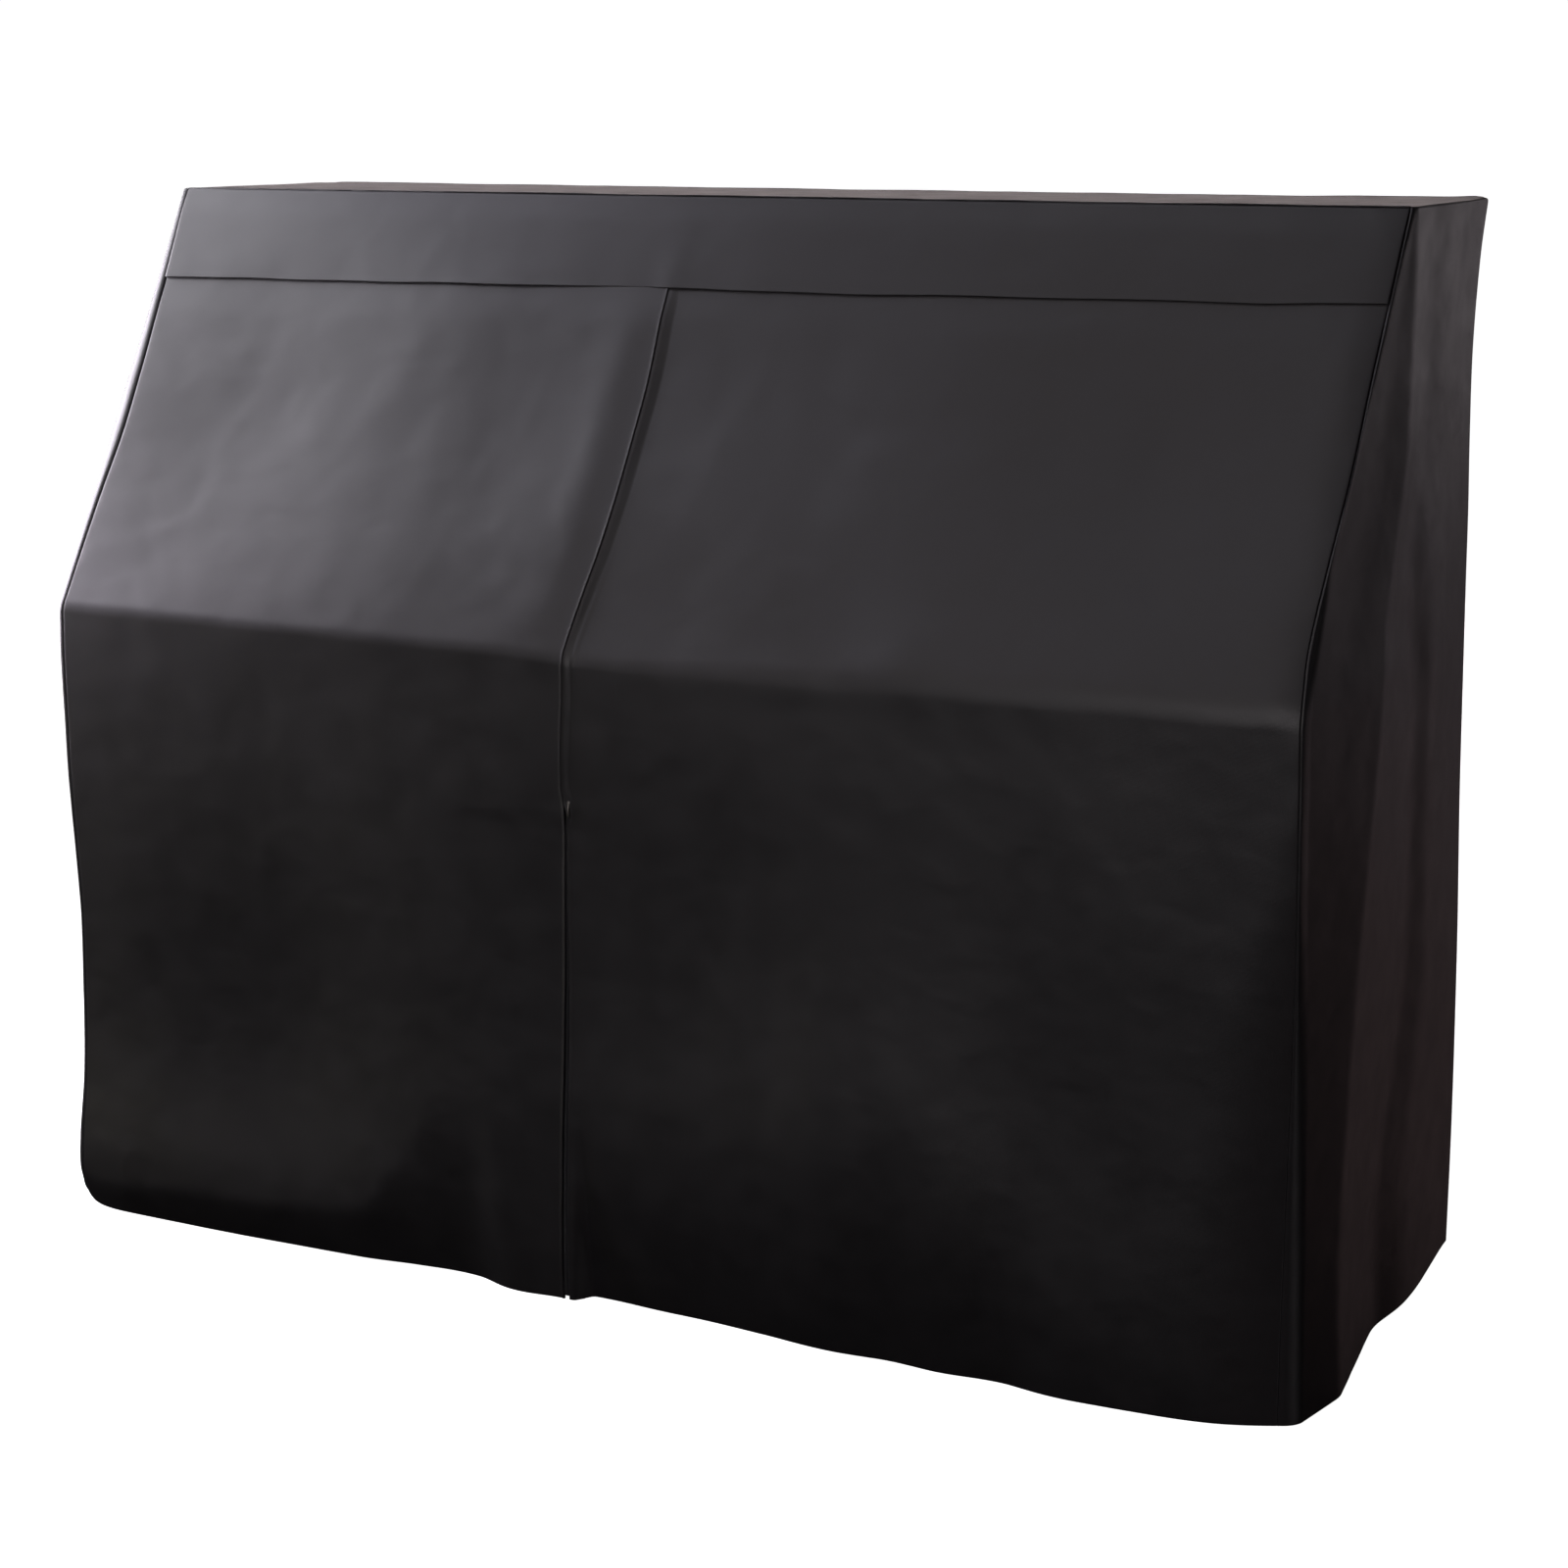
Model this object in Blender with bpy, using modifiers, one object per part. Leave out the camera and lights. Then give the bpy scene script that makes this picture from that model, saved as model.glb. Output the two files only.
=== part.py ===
"""Fitted cover for an upright piano, hanging closed: flat panels of coated cloth sewn round a hollow.

Metres, +Z up. X runs along the keyboard, the front faces -Y. The origin is on the floor, under the middle
of the cover. The cover is hollow and open at the floor. Each panel is an open grid of points set on the
outer face of the cloth, then given its thickness inwards with Solidify.
"""

import math
from collections import namedtuple

import bmesh
import bpy
from mathutils import Vector

# ---- driving sizes -------------------------------------------------------------------------------------
WIDTH = 1.530  # across the side panels at the top
HEIGHT = 1.222  # floor to the top of the cover
TOP_DEPTH = 0.299  # back plane to the top front edge
KEY_DEPTH = 0.580  # back plane to the soft edge over the keys
KEY_HEIGHT = 0.741  # floor to the soft edge over the keys
KEY_ROUND = 0.024  # half the height over which that edge bends
SLOPE_SAG = 0.011  # how far the slope hangs in between the lid and the keys
BACK_Y = 0.295  # the back plane, from the origin

CLOTH = 0.0015  # thickness of the cloth
GAP = 0.0003  # between pieces that meet
LAP_GAP = 0.0006  # between layers that lie on each other
LAYER = CLOTH + LAP_GAP

SEAM_INSET = 0.008  # a corner seam sits this far inside the side plane
BACK_CORNER = 0.009  # how far forward the side panel starts its turn into the back seam
SEAM_LEAD = 0.0025  # a side panel runs on flat this far past a corner seam before it turns
EDGE_COLUMN = 0.030  # width of front cloth beside a corner seam whose slope that flat stretch follows

BAND_LEFT = 0.1050  # height of the front band at its left end, straight down
BAND_RIGHT = 0.0945  # and at its right end

SEAM_TOP_X = -0.062  # upright seam at the band
SEAM_KEY_X = -0.078  # at the key edge
SEAM_HEM_X = -0.079  # at the hem
LAP = 0.014  # how far the left panel lies over the right one
LAP_RISE_BAND = 0.0026  # how far the lapped edge stands off under the band
LAP_RISE_SLOPE = 0.0055  # and on the slope
LAP_RISE_BELOW = 0.0030  # and below the key edge
LAP_RAMP = 0.060  # width over which the cloth climbs to the lapped edge
LAP_KEY_FADE = 0.050  # height above the key edge over which the stand-off grows
LAP_BAND_FADE = 0.060  # height below the band over which it settles again

ZIP_TOP = 0.558  # height where the two front edges part over the zip
ZIP_LAP_END = 0.590  # height where the lap starts to open
ZIP_SHOWS_TOP = 0.006  # width of zip showing at its head
ZIP_SHOWS_HEM = 0.013  # and at the hem
ZIP_TAPE = 0.026  # full width of the tape
ZIP_HIDDEN = 0.030  # length of tape that runs on up behind the lap
ZIP_SETTLE = 0.048  # height below the zip's head over which the left edge comes down to the front
SLIDER_WIDE = 0.0046
SLIDER_TALL = 0.009
SLIDER_THICK = 0.0032
PULL_WIDE = 0.0034
PULL_TALL = 0.014
PULL_THICK = 0.0012

HEM_CLEAR = 0.004  # the zip tape stops this far above the floor

# ---- sections and folds --------------------------------------------------------------------------------
# Side panels: one row for each height. Distances "from_back" run forward from the back plane, and each
# "out" is how far the cloth stands outside the side plane there. The heights are also rows of the panels.
SideSection = namedtuple(
    "SideSection",
    "height seam_out corner gusset_out ridge_from_back ridge_out valley_from_back valley_out back_out",
)
RIGHT_SECTIONS = (
    SideSection(1.222, 0.000, 0.009, 0.000, 0.262, 0.000, 0.160, 0.000, 0.001),
    SideSection(1.060, 0.000, 0.010, -0.004, 0.278, 0.003, 0.150, -0.004, -0.005),
    SideSection(0.880, 0.000, 0.012, -0.005, 0.300, 0.006, 0.150, -0.006, -0.002),
    SideSection(0.741, 0.001, 0.014, -0.003, 0.336, 0.008, 0.150, -0.005, 0.000),
    SideSection(0.558, 0.003, 0.024, 0.002, 0.375, 0.011, 0.148, -0.004, 0.003),
    SideSection(0.380, 0.004, 0.044, 0.010, 0.446, 0.016, 0.160, -0.002, 0.006),
    SideSection(0.170, 0.006, 0.062, 0.018, 0.462, 0.022, 0.220, 0.000, 0.010),
    SideSection(0.000, 0.007, 0.070, 0.023, 0.462, 0.027, 0.262, 0.001, 0.011),
)
LEFT_SECTIONS = (
    SideSection(1.222, 0.006, 0.009, 0.006, 0.240, 0.002, 0.150, 0.000, 0.000),
    SideSection(1.060, 0.001, 0.010, 0.003, 0.250, 0.004, 0.140, -0.003, -0.004),
    SideSection(0.880, 0.000, 0.010, -0.001, 0.275, 0.006, 0.140, -0.005, -0.003),
    SideSection(0.741, 0.001, 0.012, 0.002, 0.320, 0.008, 0.150, -0.004, 0.000),
    SideSection(0.558, -0.001, 0.014, 0.001, 0.360, 0.010, 0.160, -0.003, 0.002),
    SideSection(0.380, -0.006, 0.018, -0.004, 0.400, 0.014, 0.175, -0.002, 0.004),
    SideSection(0.170, 0.004, 0.020, 0.008, 0.420, 0.021, 0.200, 0.000, 0.006),
    SideSection(0.000, 0.007, 0.022, 0.015, 0.425, 0.027, 0.230, 0.001, 0.008),
)

# Front: one row for each soft fold or hollow; "out" is its greatest height off the plain front.
FrontFold = namedtuple("FrontFold", "x height half_wide half_tall out")
FRONT_FOLDS = (
    FrontFold(-0.520, 0.360, 0.230, 0.170, -0.013),
    FrontFold(-0.560, 0.030, 0.260, 0.110, -0.004),
    FrontFold(-0.290, 0.420, 0.120, 0.200, 0.005),
    FrontFold(0.120, 0.420, 0.200, 0.180, -0.006),
    FrontFold(0.180, 0.060, 0.200, 0.180, 0.016),
    FrontFold(0.550, 0.040, 0.220, 0.260, 0.021),
    FrontFold(0.560, 0.470, 0.130, 0.180, 0.006),
    FrontFold(-0.600, 0.960, 0.110, 0.160, -0.005),
    FrontFold(-0.290, 0.930, 0.090, 0.180, 0.006),
    FrontFold(0.300, 1.000, 0.110, 0.120, 0.005),
    FrontFold(0.560, 0.900, 0.120, 0.150, -0.005),
)
# Back: soft upright folds from the lid down, growing towards the hem.
BackFold = namedtuple("BackFold", "x half_wide top_out hem_out")
BACK_FOLDS = (
    BackFold(-0.520, 0.110, 0.001, 0.008),
    BackFold(-0.230, 0.130, -0.001, -0.006),
    BackFold(0.080, 0.120, 0.002, 0.009),
    BackFold(0.400, 0.140, -0.001, -0.005),
)
# Hem: places where it is drawn up off the floor.
HemLift = namedtuple("HemLift", "x from_back reach lift")
HEM_LIFTS = (
    HemLift(-0.770, 0.575, 0.040, 0.009),
    HemLift(0.775, 0.000, 0.110, 0.012),
    HemLift(-0.775, 0.000, 0.110, 0.008),
)
HEM_LIFT_FADE = 0.160  # height over which a lifted hem draws up the cloth above it

# Front corners near the floor: the front turns back before it reaches the seam.
CORNER_TURN_RIGHT = (0.120, 0.040)  # width of the turn and how far back it goes, at the hem
CORNER_TURN_LEFT = (0.060, 0.007)
CORNER_TURN_NARROW = 0.40  # share of that width left at the key edge, where the turn dies out

# ---- where the rows and columns of the grids lie -------------------------------------------------------
TOP_ROWS = (HEIGHT - CLOTH - GAP, 1.180)  # rows beside the band only
BODY_ROWS = (
    1.1435, 1.120, 1.060, 1.000, 0.940, 0.880, 0.830, 0.790, 0.766, 0.753, 0.741, 0.729, 0.716, 0.690,
    0.640, ZIP_LAP_END, ZIP_TOP, 0.510, 0.450, 0.380, 0.310, 0.240, 0.170, 0.100, 0.045, 0.0,
)  # fmt: skip
LEFT_COLUMNS = (0.0, 0.04, 0.12, 0.25, 0.38, 0.51, 0.64, 0.76, 0.86, 0.92, 0.96, 0.982, 1.0)
RIGHT_COLUMNS = (0.0, 0.018, 0.06, 0.13, 0.23, 0.34, 0.45, 0.56, 0.67, 0.77, 0.85, 0.91, 0.96, 1.0)
BAND_RIGHT_FROM = 2  # the first of the right panel's columns that the band has too, beyond the lap
BAND_ROWS = 3
BAND_LAP_FADE = 0.060  # height over which the band flattens out above the lap
TOP_COLUMNS = 2
BACK_COLUMNS = 14
BACK_ROWS = TOP_ROWS[:1] + tuple(cut.height for cut in RIGHT_SECTIONS[1:])
SIDE_CORNER_STEPS = 4
SIDE_FLAT_STEPS = 9
ZIP_TAPE_COLUMNS = 2

CLOTH_COLOUR = (0.026, 0.024, 0.026, 1.0)
TAPE_COLOUR = (0.016, 0.016, 0.017, 1.0)
METAL_COLOUR = (0.20, 0.20, 0.21, 1.0)


# ---- small helpers -------------------------------------------------------------------------------------
def clamp(value, low=0.0, high=1.0):
    """The value, kept between two limits."""
    return max(low, min(high, value))


def smooth(value):
    """0 to 1 with a soft start and end."""
    t = clamp(value)
    return t * t * (3.0 - 2.0 * t)


def mix(a, b, share):
    """From a to b by a share."""
    return a + (b - a) * share


def section_at(rows, height):
    """The side section at any height, read softly between the table's rows."""
    if height >= rows[0].height:
        return rows[0]
    for upper, lower in zip(rows, rows[1:]):
        if height >= lower.height:
            share = (upper.height - height) / (upper.height - lower.height)
            return SideSection(*(mix(a, b, share) for a, b in zip(upper, lower)))
    return rows[-1]


def soft_bend(over):
    """A straight rise that starts with a bend instead of a corner."""
    if over <= -KEY_ROUND:
        return 0.0
    if over >= KEY_ROUND:
        return over
    return (over + KEY_ROUND) ** 2 / (4.0 * KEY_ROUND)


# ---- the cover's outer faces ---------------------------------------------------------------------------
def side_rows(side):
    """The section table of the right (+1) or left (-1) side."""
    return RIGHT_SECTIONS if side > 0 else LEFT_SECTIONS


def corner_seam_x(side, height):
    """Where the front's corner seam runs, measured along X."""
    return side * (WIDTH / 2 - SEAM_INSET + section_at(side_rows(side), height).seam_out)


def corner_turn(x, height):
    """How far the front has turned back near a corner, more towards the floor."""
    side = 1 if x > 0 else -1
    width, back = CORNER_TURN_RIGHT if side > 0 else CORNER_TURN_LEFT
    low = clamp(1.0 - height / KEY_HEIGHT)
    from_seam = abs(corner_seam_x(side, height)) - abs(x)
    into = clamp(1.0 - from_seam / (width * mix(CORNER_TURN_NARROW, 1.0, low)))
    return back * low * into * into


def front_folds(x, height):
    """The front's soft folds and hollows, fading out at the top of the band."""
    total = sum(
        f.out * math.exp(-(((x - f.x) / f.half_wide) ** 2) - ((height - f.height) / f.half_tall) ** 2)
        for f in FRONT_FOLDS
    )
    return total * clamp((HEIGHT - height) / BAND_LEFT)


def front_point(x, height, off=0.0):
    """A point on the outer face of the front, or at the same height on a layer that lies off it."""
    over = height - KEY_HEIGHT
    rise = HEIGHT - KEY_HEIGHT
    lean = (KEY_DEPTH - TOP_DEPTH) / rise
    middle = 1.0 - abs(x / (WIDTH / 2)) ** 4
    sag = SLOPE_SAG * math.sin(math.pi * clamp(over / rise)) ** 2 * middle
    depth = KEY_DEPTH - lean * soft_bend(over) - sag + front_folds(x, height) - corner_turn(x, height)
    slope = clamp((over + KEY_ROUND) / (2 * KEY_ROUND)) * lean
    return Vector((x, BACK_Y - depth - off * math.hypot(1.0, slope), height))


def side_point(side, height, step):
    """A point on a side panel's outer face, by its step from the front corner seam to the back one."""
    last_corner = SIDE_CORNER_STEPS + 1
    first_back = last_corner + SIDE_FLAT_STEPS
    cut = section_at(side_rows(side), height)
    if step <= last_corner:
        return front_corner_point(side, height, cut, step)
    if step >= first_back:
        return back_corner_point(side, height, cut, step - first_back)
    from_back = mix(gusset_from_back(side, height, cut), BACK_CORNER, (step - last_corner) / SIDE_FLAT_STEPS)
    out = side_out(cut, gusset_from_back(side, height, cut), from_back)
    return Vector((side * (WIDTH / 2 + out), BACK_Y - from_back, height))


def lead_point(side, height):
    """Where the side panel starts to turn the front corner, in line with the front, and the front's slope."""
    seam = front_point(corner_seam_x(side, height), height)
    before = front_point(corner_seam_x(side, height) - side * EDGE_COLUMN, height)
    return seam + (seam - before) * (SEAM_LEAD / EDGE_COLUMN), (seam.y - before.y) / EDGE_COLUMN


def gusset_from_back(side, height, cut):
    """How far in front of the back plane the side has finished turning the front corner."""
    lead, _ = lead_point(side, height)
    return BACK_Y - (lead.y + cut.corner)


def front_corner_point(side, height, cut, step):
    """A point of the turn from the front seam to the side: step 0 is the seam, and step 1 the lead's end."""
    lead, slope = lead_point(side, height)
    if step == 0:
        return front_point(corner_seam_x(side, height) + side * GAP / 2, height)
    reach = WIDTH / 2 + cut.gusset_out - abs(lead.x)
    first = math.atan2(max(slope, 0.0) * reach, cut.corner)
    turn = mix(first, math.pi / 2, (step - 1) / SIDE_CORNER_STEPS)
    across = abs(lead.x) + reach * (math.sin(turn) - math.sin(first)) / (1.0 - math.sin(first))
    back = cut.corner * (math.cos(first) - math.cos(turn)) / math.cos(first)
    return Vector((side * across, lead.y + back, height))


def back_corner_point(side, height, cut, step):
    """A point of the turn from the side to the back seam, which is the last step."""
    plane = WIDTH / 2 + cut.back_out
    if step > SIDE_CORNER_STEPS:
        return Vector((side * (plane - SEAM_INSET + GAP / 2), BACK_Y, height))
    turn = math.pi / 2 * step / SIDE_CORNER_STEPS
    across = plane - (SEAM_INSET - SEAM_LEAD) * (1.0 - math.cos(turn))
    return Vector((side * across, BACK_Y - BACK_CORNER * (1.0 - math.sin(turn)), height))


def side_out(cut, gusset, from_back):
    """How far the side stands out, read through its gusset, ridge, valley and back edge."""
    stops = (
        (gusset, cut.gusset_out),
        (min(cut.ridge_from_back, gusset - GAP), cut.ridge_out),
        (cut.valley_from_back, cut.valley_out),
        (BACK_CORNER, cut.back_out),
    )
    for (far, a), (near, b) in zip(stops, stops[1:]):
        if from_back >= near:
            share = clamp((far - from_back) / (far - near))
            return mix(a, b, mix(share, smooth(share), 0.6))
    return cut.back_out


def back_point(x, height):
    """A point on the outer face of the back."""
    edge = back_seam_x(1 if x > 0 else -1, height)
    down = 1.0 - height / HEIGHT
    folds = sum(
        mix(f.top_out, f.hem_out, down) * math.exp(-(((x - f.x) / f.half_wide) ** 2))
        for f in BACK_FOLDS
    )
    return Vector((x, BACK_Y + folds * (1.0 - (x / edge) ** 2) ** 2, height))


def back_seam_x(side, height):
    """Where a back corner seam runs, measured along X."""
    return side * (WIDTH / 2 - SEAM_INSET + section_at(side_rows(side), height).back_out)


def lift_hem(point):
    """The same point, drawn up where the hem is off the floor."""
    low = clamp(1.0 - point.z / HEM_LIFT_FADE)
    for h in HEM_LIFTS:
        away = math.hypot(point.x - h.x, (BACK_Y - point.y) - h.from_back) / h.reach
        point.z += h.lift * low * math.exp(-away * away)
    return point


def seam_x(height):
    """Where the upright front seam runs."""
    if height >= KEY_HEIGHT:
        return mix(SEAM_KEY_X, SEAM_TOP_X, (height - KEY_HEIGHT) / (HEIGHT - BAND_LEFT - KEY_HEIGHT))
    return mix(SEAM_HEM_X, SEAM_KEY_X, height / KEY_HEIGHT)


def zip_shows(height):
    """Width of zip that shows between the two front edges."""
    return mix(ZIP_SHOWS_HEM, ZIP_SHOWS_TOP, clamp(height / ZIP_TOP))


def opened(height):
    """0 where the front is lapped, 1 where its edges have parted over the zip."""
    return clamp((ZIP_LAP_END - height) / (ZIP_LAP_END - ZIP_TOP))


def left_edge_x(height):
    """Right-hand edge of the front's left panel."""
    return seam_x(height) - opened(height) * zip_shows(height) / 2


def right_edge_x(height):
    """Left-hand edge of the front's right panel, under the lap or beside the zip."""
    return seam_x(height) + mix(-LAP, zip_shows(height) / 2, opened(height))


def lap_rise(height, from_edge):
    """How far the left panel stands off the front, near its lapped edge."""
    rise = mix(LAP_RISE_BELOW, LAP_RISE_SLOPE, smooth((height - KEY_HEIGHT) / LAP_KEY_FADE))
    under_band = HEIGHT - BAND_LEFT
    rise = mix(rise, LAP_RISE_BAND, clamp(1.0 - (under_band - height) / LAP_BAND_FADE))
    rise *= clamp(1.0 - (ZIP_TOP - height) / ZIP_SETTLE)
    return rise * (1.0 - smooth(from_edge / LAP_RAMP))


def band_bottom(x):
    """Height of the band's lower edge."""
    return HEIGHT - mix(BAND_LEFT, BAND_RIGHT, clamp(0.5 + x / WIDTH))


# ---- building ------------------------------------------------------------------------------------------
def material(name, colour, roughness, metallic=0.0):
    """A plain surface of one colour."""
    made = bpy.data.materials.new(name)
    made.use_nodes = True
    shader = made.node_tree.nodes["Principled BSDF"]
    shader.inputs["Base Color"].default_value = colour
    shader.inputs["Roughness"].default_value = roughness
    shader.inputs["Metallic"].default_value = metallic
    made.diffuse_color = colour
    return made


def finish(name, bm, surface, collection):
    """An object from a finished mesh, with its material, in its collection."""
    mesh = bpy.data.meshes.new(name)
    bm.to_mesh(mesh)
    bm.free()
    mesh.materials.append(surface)
    item = bpy.data.objects.new(name, mesh)
    collection.objects.link(item)
    return item


def cloth_panel(name, columns, rows, place, surface, collection):
    """A sewn panel: a grid whose points are set by place(column, row), then thickened inwards."""
    bm = bmesh.new()
    bmesh.ops.create_grid(bm, x_segments=columns, y_segments=rows, size=0.5)
    for vert in bm.verts:
        column = round((vert.co.x + 0.5) * columns)
        row = round((0.5 - vert.co.y) * rows)
        vert.co = lift_hem(place(column, row))
    item = finish(name, bm, surface, collection)
    thicken = item.modifiers.new("cloth", "SOLIDIFY")
    thicken.thickness = CLOTH
    thicken.offset = -1.0
    thicken.use_even_offset = True
    thicken.use_quality_normals = True
    return item


def top_panel(surface, collection):
    """The flat lid panel, cut to the outline of the panels below it."""
    last_step = 2 * (SIDE_CORNER_STEPS + 1) + SIDE_FLAT_STEPS - 1
    front = front_point(0.0, HEIGHT, LAYER).y

    def place(column, row):
        step = last_step - row
        left = side_point(-1, TOP_ROWS[0], step)
        right = side_point(1, TOP_ROWS[0], step)
        point = left.lerp(right, column / TOP_COLUMNS)
        return Vector((point.x, front if step == 1 else point.y, HEIGHT))

    return cloth_panel("top_panel", TOP_COLUMNS, last_step - 1, place, surface, collection)


def front_band(surface, collection):
    """The band along the top of the front, lying over the front panels and raised over their lap."""
    right_columns = RIGHT_COLUMNS[BAND_RIGHT_FROM:]
    columns = len(LEFT_COLUMNS) + len(right_columns) - 1

    def place(column, row):
        x = 0.0
        for _ in range(2):
            height = mix(TOP_ROWS[0], band_bottom(x), row / BAND_ROWS)
            if column < len(LEFT_COLUMNS):
                start = corner_seam_x(-1, height) + GAP / 2
                x = mix(start, left_edge_x(height), LEFT_COLUMNS[column])
            else:
                end = corner_seam_x(1, height) - GAP / 2
                x = mix(right_edge_x(height), end, right_columns[column - len(LEFT_COLUMNS)])
        over_lap = lap_rise(height, abs(left_edge_x(height) - x)) * clamp((HEIGHT - height) / BAND_LAP_FADE)
        return front_point(x, height, LAYER + over_lap)

    return cloth_panel("front_band", columns, BAND_ROWS, place, surface, collection)


def front_left_panel(surface, collection):
    """Front panel left of the upright seam, climbing to its lapped edge."""

    def place(column, row):
        height = BODY_ROWS[row]
        start = corner_seam_x(-1, height) + GAP / 2
        edge = left_edge_x(height)
        x = mix(start, edge, LEFT_COLUMNS[column])
        return front_point(x, height, lap_rise(height, edge - x))

    return cloth_panel(
        "front_left_panel", len(LEFT_COLUMNS) - 1, len(BODY_ROWS) - 1, place, surface, collection
    )


def front_right_panel(surface, collection):
    """Front panel right of the upright seam, running in under the lap."""

    def place(column, row):
        height = BODY_ROWS[row]
        x = mix(right_edge_x(height), corner_seam_x(1, height) - GAP / 2, RIGHT_COLUMNS[column])
        return front_point(x, height)

    return cloth_panel(
        "front_right_panel", len(RIGHT_COLUMNS) - 1, len(BODY_ROWS) - 1, place, surface, collection
    )


def side_panel(name, side, surface, collection):
    """A side panel from the front corner seam round to the back one."""
    rows = TOP_ROWS + BODY_ROWS
    steps = 2 * (SIDE_CORNER_STEPS + 1) + SIDE_FLAT_STEPS

    def place(column, row):
        step = column if side > 0 else steps - column
        return side_point(side, rows[row], step)

    return cloth_panel(name, steps, len(rows) - 1, place, surface, collection)


def back_panel(surface, collection):
    """The back, with a few soft upright folds."""

    def place(column, row):
        height = BACK_ROWS[row]
        start = back_seam_x(1, height) - GAP / 2
        end = back_seam_x(-1, height) + GAP / 2
        return back_point(mix(start, end, column / BACK_COLUMNS), height)

    return cloth_panel("back_panel", BACK_COLUMNS, len(BACK_ROWS) - 1, place, surface, collection)


def zip_tape(surface, collection):
    """The zip's tape, behind the two front edges, from the hem to just above its slider."""
    heights = [h for h in BODY_ROWS if 0.0 < h <= ZIP_TOP + ZIP_HIDDEN + GAP] + [HEM_CLEAR]
    heights.insert(0, ZIP_TOP + ZIP_HIDDEN + GAP)

    def place(column, row):
        height = heights[row]
        x = seam_x(height) + ZIP_TAPE * (column / ZIP_TAPE_COLUMNS - 0.5)
        return front_point(x, height, -LAYER)

    return cloth_panel("zip_tape", ZIP_TAPE_COLUMNS, len(heights) - 1, place, surface, collection)


def rounded_block(name, size, centre, surface, collection):
    """A small block with its edges rounded."""
    bm = bmesh.new()
    bmesh.ops.create_cube(bm, size=1.0)
    bmesh.ops.scale(bm, vec=size, verts=bm.verts)
    bmesh.ops.translate(bm, vec=centre, verts=bm.verts)
    bmesh.ops.bevel(
        bm, geom=bm.edges[:], offset=min(size) * 0.3, segments=2, profile=0.5, affect="EDGES", material=-1
    )
    return finish(name, bm, surface, collection)


def zip_slider(surface, collection, cutters):
    """The slider at the head of the zip, with its pull hanging down."""
    head = ZIP_TOP - SLIDER_TALL / 2
    seat = front_point(seam_x(head), head, -LAYER)
    clear = 4 * GAP
    body_y = seat.y - clear - SLIDER_THICK / 2
    body = rounded_block(
        "zip_slider",
        Vector((SLIDER_WIDE, SLIDER_THICK, SLIDER_TALL)),
        Vector((seat.x, body_y, head)),
        surface,
        collection,
    )
    pull_y = body_y - SLIDER_THICK / 2 - PULL_THICK / 4
    pull = rounded_block(
        "zip_pull",
        Vector((PULL_WIDE, PULL_THICK, PULL_TALL)),
        Vector((seat.x, pull_y, head - PULL_TALL / 2 + PULL_THICK)),
        surface,
        cutters,
    )
    pull.hide_render = True
    pull.display_type = "WIRE"
    join = body.modifiers.new("pull", "BOOLEAN")
    join.operation = "UNION"
    join.solver = "EXACT"
    join.object = pull
    return body


def main():
    """Clears the scene and builds the cover."""
    for item in list(bpy.data.objects):
        bpy.data.objects.remove(item)
    cover = bpy.data.collections.new("piano_cover")
    cutters = bpy.data.collections.new("cutters")
    bpy.context.scene.collection.children.link(cover)
    bpy.context.scene.collection.children.link(cutters)

    cloth = material("coated_cloth", CLOTH_COLOUR, 0.45)
    tape = material("zip_tape", TAPE_COLOUR, 0.6)
    metal = material("zip_metal", METAL_COLOUR, 0.35, 1.0)

    top_panel(cloth, cover)
    front_band(cloth, cover)
    front_left_panel(cloth, cover)
    front_right_panel(cloth, cover)
    side_panel("side_panel_right", 1, cloth, cover)
    side_panel("side_panel_left", -1, cloth, cover)
    back_panel(cloth, cover)
    zip_tape(tape, cover)
    zip_slider(metal, cover, cutters)


main()
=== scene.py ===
"""Looks of a fitted cover for an upright piano: sewn panels of coated cloth with a lapped, zipped front.

Metres, +Z up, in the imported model's frame: X runs along the keyboard, the front faces -Y and the floor
is at zero. Every panel is a thin sheet on the form of its solid, with its folds, seams and turned edges.
"""

import logging
import math
from dataclasses import astuple, dataclass, field, replace
from enum import Enum
from functools import lru_cache
from typing import Callable, Sequence

import bmesh
import bpy
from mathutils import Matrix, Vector, noise


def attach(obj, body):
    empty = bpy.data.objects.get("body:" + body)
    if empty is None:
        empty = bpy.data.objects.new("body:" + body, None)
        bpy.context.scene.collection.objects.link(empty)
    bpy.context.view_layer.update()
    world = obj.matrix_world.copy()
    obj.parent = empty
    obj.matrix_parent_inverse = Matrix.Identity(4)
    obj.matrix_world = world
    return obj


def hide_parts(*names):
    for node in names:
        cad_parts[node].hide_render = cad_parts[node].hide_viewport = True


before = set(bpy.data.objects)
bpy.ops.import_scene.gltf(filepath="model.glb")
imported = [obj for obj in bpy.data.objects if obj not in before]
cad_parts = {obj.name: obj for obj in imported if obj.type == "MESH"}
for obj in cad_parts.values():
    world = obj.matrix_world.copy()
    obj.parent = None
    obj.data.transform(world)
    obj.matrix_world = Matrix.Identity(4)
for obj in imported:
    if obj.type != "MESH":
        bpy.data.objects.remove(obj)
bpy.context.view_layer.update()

MM = 0.001
BODY = "root"
LOG = logging.getLogger("piano_cover")


# ---- numbers -------------------------------------------------------------------------------------------
def clamp(value: float, low: float = 0.0, high: float = 1.0) -> float:
    """Keeps a value between two limits."""
    return max(low, min(high, value))


def smooth(value: float) -> float:
    """Eases 0 to 1 with a soft start and end."""
    t = clamp(value)
    return t * t * (3.0 - 2.0 * t)


def mix(a: float, b: float, share: float) -> float:
    """Goes from a to b by a share."""
    return a + (b - a) * share


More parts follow.
